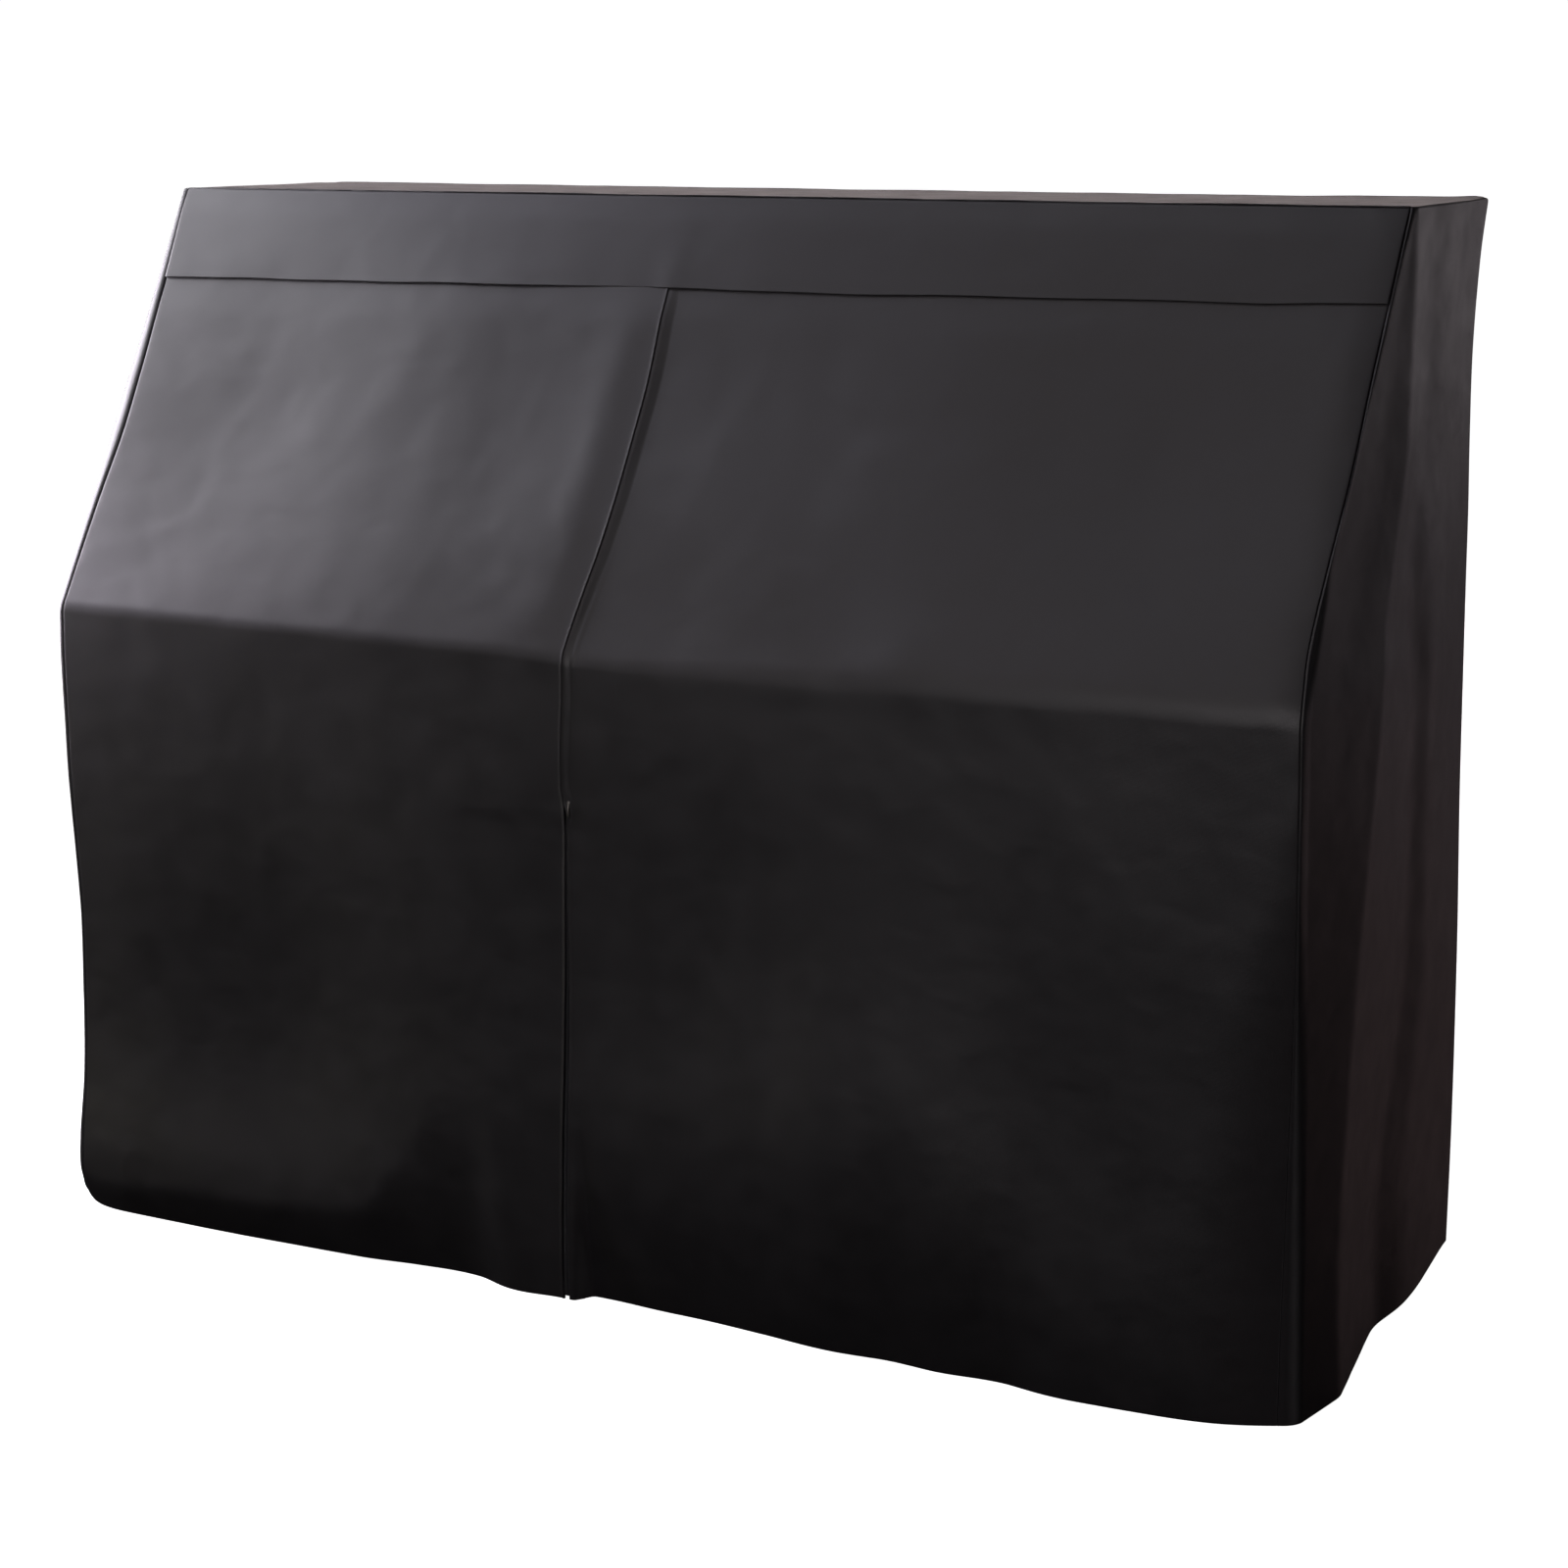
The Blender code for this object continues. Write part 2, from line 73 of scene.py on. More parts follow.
def soft_bend(over: float, half: float) -> float:
    """A straight rise that starts at zero with a bend instead of a corner.

    Args:
        over: Distance past the corner.
        half: Half the length over which it bends.

    Returns:
        The rise, 0 well before the corner and the distance itself well after it.
    """
    if over <= -half:
        return 0.0
    if over >= half:
        return over
    return (over + half) ** 2 / (4.0 * half)


def eased(stops: Sequence, at: float) -> float:
    """Reads a value between stops, on a smooth curve that never passes beyond them.

    Args:
        stops: Pairs of a place and its value, in rising order of place.
        at: The place to read.

    Returns:
        The value there.
    """
    if at <= stops[0][0]:
        return stops[0][1]
    if at >= stops[-1][0]:
        return stops[-1][1]
    after = next(i for i, stop in enumerate(stops) if stop[0] > at)
    slopes = [0.0]
    for (a, low), (b, mid), (c, high) in zip(stops, stops[1:], stops[2:]):
        before, beyond = (mid - low) / (b - a), (high - mid) / (c - b)
        slopes.append(2.0 * before * beyond / (before + beyond) if before * beyond > 0.0 else 0.0)
    slopes.append(0.0)
    (start, a), (end, b) = stops[after - 1], stops[after]
    t = (at - start) / (end - start)
    bend = slopes[after - 1] * t * (1.0 - t) ** 2 - slopes[after] * t * t * (1.0 - t)
    return mix(a, b, smooth(t)) + bend * (end - start)


def lip(away: float, wide: float, deep: float) -> float:
    """How far cloth dips as it rolls into a seam.

    Args:
        away: Distance from the seam.
        wide: Width of the roll.
        deep: Depth at the seam.

    Returns:
        The dip, falling steeply at the seam and level at the roll's far side.
    """
    if away >= wide or wide <= 0.0:
        return 0.0
    return deep * (1.0 - math.sqrt(max(0.0, 1.0 - (1.0 - max(away, 0.0) / wide) ** 2)))


def graded(length: float, finest: float, coarsest: float) -> list:
    """Spreads stations along a length, close together at its ends.

    Args:
        length: The length, in metres.
        finest: The first gap beside each end.
        coarsest: The gap in between.

    Returns:
        Shares from 0 to 1.
    """
    growth = 1.5
    ramp = [0.0]
    gap = finest
    while gap < coarsest:
        ramp.append(ramp[-1] + gap)
        gap *= growth
    last = [length - run for run in reversed(ramp)]
    count = max(1, round((last[0] - ramp[-1]) / coarsest))
    middle = [mix(ramp[-1], last[0], i / count) for i in range(1, count)]
    return [s / length for s in ramp + middle + last]


# ---- the form ------------------------------------------------------------------------------------------
class Side(Enum):
    """The cover's two ends, by their direction along X."""

    LEFT = -1
    RIGHT = 1


@dataclass(frozen=True)
class SideSection:
    """A level cut through a side panel.

    Distances "from_back" run forward from the back plane; each "out" is how far the cloth stands outside
    the side plane. The groove is the depth of the front corner seam below the cloth beside it.
    """

    height: float
    seam_out: float
    corner: float
    gusset_out: float
    ridge_from_back: float
    ridge_out: float
    trough_from_back: float
    trough_out: float
    shoulder_from_back: float
    shoulder_out: float
    back_out: float
    groove: float


@dataclass(frozen=True)
class Fold:
    """A soft round swelling (out above zero) or hollow (below) of a panel."""

    along: float
    height: float
    half_wide: float
    half_tall: float
    out: float

    def rise(self, along: float, height: float) -> float:
        """Height of the swelling at a place.

        Args:
            along: Distance along the panel.
            height: Height above the floor.

        Returns:
            How far the swelling stands out there.
        """
        wide = (along - self.along) / self.half_wide
        tall = (height - self.height) / self.half_tall
        reach = wide * wide + tall * tall
        return self.out * math.exp(-reach) if reach < 9.0 else 0.0


@dataclass(frozen=True)
class Crease:
    """A soft ridge or trough along a straight line, dying out towards both ends."""

    along: float
    height: float
    to_along: float
    to_height: float
    half_wide: float
    out: float

    def rise(self, along: float, height: float) -> float:
        """Height of the ridge at a place.

        Args:
            along: Distance along the panel.
            height: Height above the floor.

        Returns:
            How far the ridge stands out there.
        """
        run = self.to_along - self.along
        drop = self.to_height - self.height
        length = run * run + drop * drop
        share = ((along - self.along) * run + (height - self.height) * drop) / length
        if not 0.0 < share < 1.0:
            return 0.0
        across = abs((along - self.along) * drop - (height - self.height) * run) / math.sqrt(length)
        if across > 3.0 * self.half_wide:
            return 0.0
        return self.out * math.sin(math.pi * share) ** 2 * math.exp(-((across / self.half_wide) ** 2))


@dataclass(frozen=True)
class Pull:
    """A place by the outline where the cloth is drawn up or lets down, reaching a little way around it."""

    x: float
    from_back: float
    reach: float
    lift: float


@dataclass(frozen=True)
class LapRow:
    """How the front's upright lap stands at one height.

    The left panel has a soft crest, falls towards its edge and ends in a narrow bead, a step above the
    right panel. That slopes down from under it, between two distances from the edge, to a faint lip.
    """

    height: float
    crest: float
    fall: float
    bead: float
    step: float
    slope_from: float
    slope_to: float
    lip: float


@dataclass(frozen=True)
class SeamRow:
    """Where the front's upright seam runs at one height."""

    height: float
    x: float


@dataclass(frozen=True)
class TurnRow:
    """How far beside a corner seam the front turns back at one height, and its slope at the seam."""

    height: float
    wide: float
    slope: float


def read_rows(rows: Sequence, height: float) -> object:
    """Reads a table of level cuts at any height, on a smooth curve through its rows.

    Args:
        rows: Rows of one kind from the top down, each starting with its height.
        height: Height above the floor.

    Returns:
        The row at that height.
    """
    if height >= rows[0].height:
        return rows[0]
    if height <= rows[-1].height:
        return rows[-1]
    lower = next(i for i, row in enumerate(rows) if row.height <= height)
    above, upper, under, beneath = (
        astuple(rows[clamp(lower + step, 0, len(rows) - 1)]) for step in (-2, -1, 0, 1)
    )
    span = upper[0] - under[0]
    t = (upper[0] - height) / span
    values = []
    for a, b, c, d in zip(above, upper, under, beneath):
        start = (c - a) / (above[0] - under[0]) * span
        end = (d - b) / (upper[0] - beneath[0]) * span
        ease = t * t * (3.0 - 2.0 * t)
        values.append(mix(b, c, ease) + start * t * (1 - t) ** 2 - end * t * t * (1 - t))
    return type(rows[0])(height, *values[1:])


# The two sides, cut level at these heights from the lid to the floor.
RIGHT_SECTIONS = (
    SideSection(1.222, 0.008, 0.006, 0.005, 0.290, 0.006, 0.240, 0.004, 0.150, 0.005, 0.005, 0.0012),
    SideSection(1.160, 0.006, 0.007, 0.002, 0.288, 0.007, 0.225, 0.003, 0.150, 0.004, -0.001, 0.0016),
    SideSection(1.060, 0.002, 0.008, -0.002, 0.292, 0.007, 0.220, 0.001, 0.155, 0.003, -0.005, 0.0022),
    SideSection(0.960, 0.000, 0.009, -0.006, 0.302, 0.0095, 0.232, 0.003, 0.170, 0.004, -0.004, 0.0022),
    SideSection(0.880, -0.004, 0.012, -0.008, 0.328, 0.009, 0.262, 0.004, 0.195, 0.008, -0.002, 0.0014),
    SideSection(0.800, -0.007, 0.017, -0.006, 0.362, 0.012, 0.252, 0.005, 0.190, 0.012, -0.001, 0.0008),
    SideSection(0.741, -0.002, 0.018, -0.004, 0.380, 0.018, 0.242, 0.006, 0.182, 0.014, 0.000, 0.0008),
    SideSection(0.558, 0.001, 0.018, -0.002, 0.422, 0.020, 0.232, 0.006, 0.172, 0.014, 0.003, 0.0006),
    SideSection(0.380, -0.001, 0.020, 0.002, 0.450, 0.019, 0.238, 0.006, 0.168, 0.015, 0.008, 0.0006),
    SideSection(0.170, -0.003, 0.020, 0.006, 0.470, 0.019, 0.300, 0.004, 0.212, 0.014, 0.011, 0.0006),
    SideSection(0.000, -0.003, 0.020, 0.010, 0.469, 0.025, 0.262, -0.001, 0.190, 0.010, 0.011, 0.0006),
)
LEFT_SECTIONS = (
    SideSection(1.222, 0.008, 0.009, 0.010, 0.240, 0.005, 0.200, 0.003, 0.150, 0.003, 0.000, 0.0034),
    SideSection(1.120, 0.001, 0.011, 0.009, 0.246, 0.006, 0.200, 0.001, 0.145, 0.002, -0.003, 0.0056),
    SideSection(1.000, -0.004, 0.013, 0.010, 0.262, 0.006, 0.206, -0.001, 0.140, 0.001, -0.004, 0.0062),
    SideSection(0.940, -0.005, 0.013, 0.009, 0.268, 0.006, 0.210, -0.002, 0.140, 0.001, -0.004, 0.0060),
    SideSection(0.880, -0.002, 0.011, 0.006, 0.275, 0.007, 0.215, -0.002, 0.140, 0.002, -0.003, 0.0046),
    SideSection(0.780, 0.001, 0.010, 0.004, 0.305, 0.008, 0.235, -0.002, 0.145, 0.003, -0.001, 0.0026),
    SideSection(0.735, 0.002, 0.011, 0.0045, 0.320, 0.008, 0.245, -0.002, 0.150, 0.004, 0.000, 0.0016),
    SideSection(0.690, 0.003, 0.012, 0.006, 0.330, 0.008, 0.255, -0.002, 0.152, 0.004, 0.000, 0.0012),
    SideSection(0.558, 0.002, 0.014, 0.004, 0.360, 0.010, 0.280, -0.001, 0.160, 0.006, 0.002, 0.0014),
    SideSection(0.380, -0.002, 0.018, 0.000, 0.400, 0.014, 0.300, 0.001, 0.175, 0.007, 0.004, 0.0014),
    SideSection(0.270, 0.002, 0.019, 0.006, 0.412, 0.016, 0.306, 0.002, 0.188, 0.008, 0.005, 0.0014),
    SideSection(0.170, 0.004, 0.020, 0.008, 0.420, 0.019, 0.310, 0.003, 0.200, 0.008, 0.006, 0.0014),
    SideSection(0.000, 0.009, 0.022, 0.017, 0.425, 0.026, 0.320, 0.003, 0.230, 0.008, 0.008, 0.0014),
)
# The upright lap, from under the band to the hem. Below the head of the zip only its bead is left.
LAP_ROWS = (
    LapRow(1.125, 0.0000, 0.0006, 0.0004, 0.0022, 0.0040, 0.0130, 0.0001),
    LapRow(1.088, 0.0002, 0.0014, 0.0005, 0.0040, 0.0030, 0.0140, 0.0001),
    LapRow(1.025, 0.0006, 0.0024, 0.0005, 0.0047, 0.0025, 0.0140, 0.0001),
    LapRow(0.930, 0.0010, 0.0028, 0.0005, 0.0046, 0.0025, 0.0135, 0.0002),
    LapRow(0.846, 0.0006, 0.0022, 0.0006, 0.0040, 0.0025, 0.0125, 0.0002),
    LapRow(0.783, 0.0004, 0.0014, 0.0006, 0.0038, 0.0025, 0.0105, 0.0007),
    LapRow(0.741, 0.0002, 0.0008, 0.0006, 0.0022, 0.0030, 0.0095, 0.0006),
    LapRow(0.700, 0.0000, 0.0002, 0.0006, 0.0020, 0.0055, 0.0098, 0.0001),
    LapRow(0.600, 0.0000, 0.0000, 0.0005, 0.0018, 0.0048, 0.0090, 0.0001),
    LapRow(0.000, 0.0000, 0.0000, 0.0004, 0.0014, 0.0040, 0.0080, 0.0001),
)
# How the front turns back beside each corner seam, most of all low down.
RIGHT_TURNS = (
    TurnRow(1.180, 0.030, 0.08),
    TurnRow(1.060, 0.045, 0.16),
    TurnRow(0.960, 0.046, 0.16),
    TurnRow(0.860, 0.016, 0.08),
    TurnRow(0.760, 0.012, 0.05),
    TurnRow(0.700, 0.014, 0.10),
    TurnRow(0.640, 0.014, 0.16),
    TurnRow(0.595, 0.028, 0.22),
    TurnRow(0.520, 0.048, 0.30),
    TurnRow(0.425, 0.078, 0.36),
    TurnRow(0.300, 0.100, 0.42),
    TurnRow(0.150, 0.125, 0.45),
    TurnRow(0.000, 0.135, 0.42),
)
LEFT_TURNS = (
    TurnRow(0.620, 0.030, 0.00),
    TurnRow(0.520, 0.060, 0.02),
    TurnRow(0.400, 0.130, 0.06),
    TurnRow(0.280, 0.170, 0.10),
    TurnRow(0.150, 0.150, 0.10),
    TurnRow(0.080, 0.090, 0.10),
    TurnRow(0.000, 0.060, 0.16),
)
# The upright seam, which wanders a little as the cloth slopes and then hangs.
SEAM_ROWS = (
    SeamRow(1.125, -0.0640),
    SeamRow(1.088, -0.0632),
    SeamRow(1.025, -0.0604),
    SeamRow(0.962, -0.0611),
    SeamRow(0.900, -0.0620),
    SeamRow(0.846, -0.0658),
    SeamRow(0.804, -0.0712),
    SeamRow(0.762, -0.0762),
    SeamRow(0.735, -0.0781),
    SeamRow(0.690, -0.0780),
    SeamRow(0.640, -0.0796),
    SeamRow(0.590, -0.0797),
    SeamRow(0.000, -0.0790),
)
# Along X: how far the bend over the keys lies above or below key_height.
KEY_LINE = (
    (-0.750, 0.0020),
    (-0.520, 0.0000),
    (-0.300, -0.0020),
    (-0.150, -0.0040),
    (0.000, -0.0110),
    (0.120, -0.0085),
    (0.240, -0.0075),
    (0.330, 0.0000),
    (0.430, -0.0010),
    (0.560, 0.0020),
    (0.660, 0.0006),
    (0.722, 0.0018),
    (0.765, -0.0030),
)
# Along X: how far the band's lower edge strays from its straight line.
BAND_LINE = (
    (-0.100, 0.0000),
    (0.105, -0.0025),
    (0.275, -0.0017),
    (0.380, -0.0025),
    (0.480, -0.0012),
    (0.620, -0.0034),
    (0.700, -0.0008),
)
# By height: where the middle of the zip runs along X, and the width of zip that shows.
ZIP_LINE = (
    (0.000, -0.0762),
    (0.300, -0.0742),
    (0.450, -0.0750),
    (0.562, -0.0745),
)
ZIP_SHOWS = (
    (0.000, 0.0075),
    (0.300, 0.0062),
    (0.420, 0.0040),
    (0.562, 0.0020),
)
# Along X: how far the front swells out at the hem.
HEM_BELLY = (
    (-0.500, 0.000),
    (-0.300, 0.008),
    (-0.175, 0.013),
    (-0.080, 0.003),
    (0.060, 0.009),
    (0.170, 0.021),
    (0.275, 0.038),
    (0.375, 0.029),
    (0.470, 0.006),
    (0.620, 0.004),
    (0.720, 0.010),
)
# Along X: the height at which the front starts to tuck in, and its slope from there to the hem.
TUCK_TOP = (
    (-0.765, 0.032),
    (-0.600, 0.044),
    (-0.450, 0.050),
    (-0.360, 0.062),
    (-0.290, 0.112),
    (-0.205, 0.170),
    (-0.108, 0.055),
    (-0.066, 0.200),
    (-0.030, 0.190),
    (0.020, 0.185),
    (0.110, 0.215),
    (0.200, 0.240),
    (0.310, 0.270),
    (0.375, 0.235),
    (0.430, 0.190),
    (0.480, 0.140),
    (0.540, 0.075),
    (0.765, 0.035),
)
TUCK_SLOPE = (
    (-0.765, 0.20),
    (-0.600, 0.25),
    (-0.360, 0.22),
    (-0.205, 0.15),
    (-0.105, 0.00),
    (-0.068, 0.00),
    (-0.050, 0.11),
    (0.020, 0.14),
    (0.110, 0.16),
    (0.310, 0.18),
    (0.400, 0.14),
    (0.460, 0.11),
    (0.540, 0.05),
    (0.765, 0.02),
)
# Folds of the front and the back, along X and by height.
FRONT_FOLDS = (
    Fold(-0.430, 0.280, 0.200, 0.190, -0.012),
    Fold(-0.530, 0.045, 0.240, 0.115, 0.022),
    Fold(0.130, 0.760, 0.340, 0.090, -0.006),
    Fold(-0.200, 0.150, 0.200, 0.220, 0.006),
    Fold(0.250, 0.120, 0.280, 0.260, 0.012),
    Fold(-0.330, 1.070, 0.140, 0.100, 0.004),
    Fold(-0.290, 0.420, 0.120, 0.200, 0.005),
    Fold(0.120, 0.420, 0.200, 0.180, -0.006),
    Fold(0.180, 0.060, 0.200, 0.180, 0.016),
    Fold(0.550, 0.040, 0.220, 0.260, 0.021),
    Fold(0.560, 0.470, 0.130, 0.180, 0.006),
    Fold(-0.600, 0.960, 0.110, 0.160, -0.005),
    Fold(-0.290, 0.930, 0.100, 0.180, 0.003),
    Fold(0.300, 1.000, 0.110, 0.120, 0.005),
    Fold(0.560, 0.900, 0.120, 0.150, -0.005),
)
FRONT_CREASES = (
    Crease(-0.580, 1.090, -0.670, 0.950, 0.022, 0.0006),
    Crease(-0.470, 1.080, -0.590, 0.860, 0.032, -0.0009),
    Crease(-0.350, 1.100, -0.440, 0.900, 0.030, 0.0008),
    Crease(-0.250, 0.960, -0.330, 0.780, 0.032, -0.0008),
    Crease(0.080, 1.060, 0.020, 0.860, 0.026, 0.0010),
    Crease(0.200, 1.020, 0.160, 0.800, 0.030, -0.0010),
)
BACK_FOLDS = (
    Fold(-0.520, 0.0, 0.110, 1.100, 0.008),
    Fold(-0.230, 0.0, 0.130, 1.000, -0.006),
    Fold(0.080, 0.0, 0.120, 1.200, 0.009),
    Fold(0.400, 0.0, 0.140, 1.000, -0.005),
)
# Where the hem is drawn up off the floor, and where the lid's outline lifts or sinks.
HEM_PULLS = (
    Pull(-0.775, 0.575, 0.036, 0.005),
    Pull(-0.778, 0.574, 0.016, 0.018),
    Pull(0.775, 0.000, 0.090, 0.018),
    Pull(-0.775, 0.000, 0.110, 0.008),
)
LID_PULLS = (
    Pull(0.720, 0.000, 0.120, 0.0018),
    Pull(0.762, 0.000, 0.024, 0.0018),
    Pull(0.776, 0.000, 0.010, -0.0050),
    Pull(-0.765, 0.004, 0.014, -0.0020),
)


@dataclass(eq=False)
class CoverForm:
    """The shape in which the cover hangs: level sections, soft folds and the lines of its seams."""

    width: float = 1.530
    height: float = 1.222
    top_depth: float = 0.299
    key_depth: float = 0.580
    key_height: float = 0.741
    key_round: tuple = (0.008, 0.018)
    key_round_from: float = -0.2
    key_round_over: float = 0.6
    slope_sag: float = 0.011
    back_y: float = 0.295

    seam_inset: float = 0.008
    back_corner: float = 0.009
    back_corner_flat: float = 0.75
    back_fold_fade: float = 0.25
    seam_lead: float = 0.0025
    seam_gap: float = 0.0003
    seam_roll: float = 0.0055
    least_roll: float = 0.6
    full_groove: float = 0.003
    back_groove: float = 0.0014
    front_dip: float = 0.15
    lid_seam: float = 0.0009
    lid_roll: float = 0.0040
    corner_flat: float = 0.22
    ridge_round: float = 0.009
    gusset_hollow: tuple = (0.45, 0.30)
    hollow_fade: float = 0.12
    hollow_round: float = 0.4
    trough_round: float = 0.022
    shoulder_round: float = 0.022

    band_left: float = 0.1050
    band_right: float = 0.0945
    band_waviness: float = 0.0016
    band_wave_long: float = 0.11
    band_lift: tuple = (0.0022, 0.0012)
    band_sink: float = 0.0012
    band_settle: float = 0.045

    lap: float = 0.014
    lap_ramp: float = 0.048
    lap_bead_wide: float = 0.0020
    lap_bead_left: float = 0.6
    lap_crest_wide: float = 0.0264
    lap_rise_wide: float = 0.200
    lap_under_gap: tuple = (0.0003, 0.0011)
    lap_gap_from: float = 0.700
    lap_gap_over: float = 0.08
    lap_slope_round: float = 0.0015
    lap_lip_wide: float = 0.0028
    lap_lip_step: float = 0.002

    zip_top: float = 0.562
    zip_lap_end: float = 0.594
    zip_settle: float = 0.022
    zip_bead: float = 0.0008
    zip_bead_wide: float = 0.0026

    tuck_round: float = 0.075
    hem_tuck_round: float = 0.008
    hem_tuck_from: float = 0.06
    hem_tuck_over: float = 0.10
    belly_top: float = 0.700
    belly_soft: float = 0.35
    key_line_fade: float = 0.200
    hem_fade: float = 0.160
    lid_fade: float = 0.050

    ripple_size: float = 0.090
    ripple_out: float = 0.0007
    fine_ripple: tuple = (0.4, 0.35)
    ripple_fade: float = 0.06
    back_ripple_fade: float = 0.05

    @property
    def lean(self) -> float:
        """How far the front leans back for each metre of rise, above the keys."""
        return (self.key_depth - self.top_depth) / (self.height - self.key_height)

    @lru_cache(maxsize=None)
    def section(self, side: Side, height: float) -> SideSection:
        """The side's level section at a height."""
        return read_rows(RIGHT_SECTIONS if side is Side.RIGHT else LEFT_SECTIONS, height)

    @lru_cache(maxsize=None)
    def corner_seam_x(self, side: Side, height: float) -> float:
        """Where the front's corner seam runs, along X."""
        return side.value * (self.width / 2 - self.seam_inset + self.section(side, height).seam_out)

    @lru_cache(maxsize=None)
    def back_seam_x(self, side: Side, height: float) -> float:
        """Where a back corner seam runs, along X."""
        return side.value * (self.width / 2 - self.seam_inset + self.section(side, height).back_out)

    def ripple(self, x: float, y: float, z: float) -> float:
        """The slight unevenness of loose cloth, which no fold accounts for.

        Args:
            x: Place along the keyboard.
            y: Place from front to back.
            z: Height above the floor.

        Returns:
            How far the cloth stands out there.
        """
        coarse = noise.noise(Vector((x, y, z)) / self.ripple_size)
        fine_size, fine_share = self.fine_ripple
        fine = noise.noise(Vector((y, z, x)) / (fine_size * self.ripple_size))
        return self.ripple_out * (coarse + fine_share * fine)

    # -- the front
    def corner_turn(self, x: float, height: float) -> float:
        """How far the front has turned back near a corner, more towards the floor.

        Args:
            x: Place along the front.
            height: Height above the floor.

        Returns:
            The distance back from the plain front.
        """
        side = Side.RIGHT if x > 0 else Side.LEFT
        turn = read_rows(RIGHT_TURNS if side is Side.RIGHT else LEFT_TURNS, height)
        from_seam = abs(self.corner_seam_x(side, height)) - abs(x)
        into = clamp(1.0 - from_seam / turn.wide)
        return 0.5 * turn.wide * turn.slope * into * into

    def tuck(self, x: float, height: float) -> float:
        """How far the front's lower part is tucked in towards the hem.

        Args:
            x: Place along the front.
            height: Height above the floor.

        Returns:
            The distance back from the plain front.
        """
        over = eased(TUCK_TOP, x) - height
        if over < -self.tuck_round:
            return 0.0
        high = smooth((over + height - self.hem_tuck_from) / self.hem_tuck_over)
        bend = mix(self.hem_tuck_round, self.tuck_round, high)
        return eased(TUCK_SLOPE, x) * soft_bend(over, bend)

    def front_relief(self, x: float, height: float) -> float:
        """The front's folds, creases and slight unevenness, fading out at the lid.

        Args:
            x: Place along the front.
            height: Height above the floor.

        Returns:
            How far the cloth stands out from the plain front.
        """
        total = sum(f.rise(x, height) for f in FRONT_FOLDS) + sum(c.rise(x, height) for c in FRONT_CREASES)
        fall = clamp(1.0 - height / self.belly_top)
        total += eased(HEM_BELLY, x) * mix(fall, smooth(fall), self.belly_soft)
        total += self.ripple(x, 0.0, height) - self.tuck(x, height)
        return total * clamp((self.height - height) / self.band_left)

    def front(self, x: float, height: float, off: float = 0.0) -> Vector:
        """A point on the front's outer face, or at the same height on a layer that lies off it.

        Args:
            x: Place along the keyboard.
            height: Height above the floor.
            off: Distance outwards from the front's own face.

        Returns:
            The point.
        """
        over = height - self.key_height
        over -= eased(KEY_LINE, x) * (1.0 - smooth(over / self.key_line_fade))
        bend = mix(*self.key_round, smooth((x - self.key_round_from) / self.key_round_over))
        middle = 1.0 - abs(x / (self.width / 2)) ** 4
        up = clamp(over / (self.height - self.key_height))
        sag = self.slope_sag * math.sin(math.pi * up) ** 2 * middle
        depth = self.key_depth - self.lean * soft_bend(over, bend) - sag
        depth += self.front_relief(x, height) - self.corner_turn(x, height)
        slope = clamp((over + bend) / (2 * bend)) * self.lean
        return Vector((x, self.back_y - depth - off * math.hypot(1.0, slope), height))

    def corner_dip(self, side: Side, height: float, away: float) -> float:
        """How far the cloth beside a front corner seam dips into it."""
        groove = self.section(side, height).groove
        return lip(away, self.seam_roll * clamp(groove / self.full_groove, self.least_roll, 1.0), groove)

    # -- the band and the upright seam
    def band_bottom(self, x: float) -> float:
        """Height of the band's lower edge."""
        return self.height - mix(self.band_left, self.band_right, clamp(0.5 + x / self.width))

    def band_wave(self, x: float) -> float:
        """The slight waviness of the band's lower edge."""
        wave = noise.noise(Vector((x / self.band_wave_long, 3.7, 0.0)))
        return self.band_waviness * wave + eased(BAND_LINE, x)

    def band_settled(self, x: float, height: float) -> float:
        """How far the front panels lie below the plain front, beside and under the band."""
        return -self.band_sink * (1.0 - smooth((self.band_bottom(x) - height) / self.band_settle))

    @lru_cache(maxsize=None)
    def seam_x(self, height: float) -> float:
        """Where the upright front seam runs, along X."""
        return read_rows(SEAM_ROWS, height).x

    def zip_x(self, height: float) -> float:
        """Where the middle of the zip runs, along X."""
        return eased(ZIP_LINE, height)

    def zip_shows(self, height: float) -> float:
        """Width of zip that shows between the two front edges."""
        return eased(ZIP_SHOWS, height)

    def opened(self, height: float) -> float:
        """0 where the front is lapped, 1 where its edges have parted over the zip."""
        return smooth((self.zip_lap_end - height) / (self.zip_lap_end - self.zip_top))

    def left_edge_x(self, height: float) -> float:
        """Right-hand edge of the front's left panel."""
        parted = self.zip_x(height) - self.zip_shows(height) / 2
        return mix(self.seam_x(height), parted, self.opened(height))

    def right_edge_x(self, height: float) -> float:
        """Left-hand edge of the front's right panel, under the lap or beside the zip.

        Args:
            height: Height above the floor.

        Returns:
            Its place along X.
        """
        under = self.seam_x(height) - self.lap
        parted = self.zip_x(height) + self.zip_shows(height) / 2
        return mix(under, parted, self.opened(height))

    def lap_row(self, height: float) -> LapRow:
        """How the upright lap stands at a height, with its step dying out where the zip opens it.

        Args:
            height: Height above the floor.

        Returns:
            The row at that height.
        """
        row = read_rows(LAP_ROWS, height)
        shut = clamp(1.0 - (self.zip_top - height) / self.zip_settle)
        bead = row.bead * mix(self.lap_bead_left, 1.0, shut)
        return replace(row, crest=row.crest * shut, fall=row.fall * shut, bead=bead, step=row.step * shut)

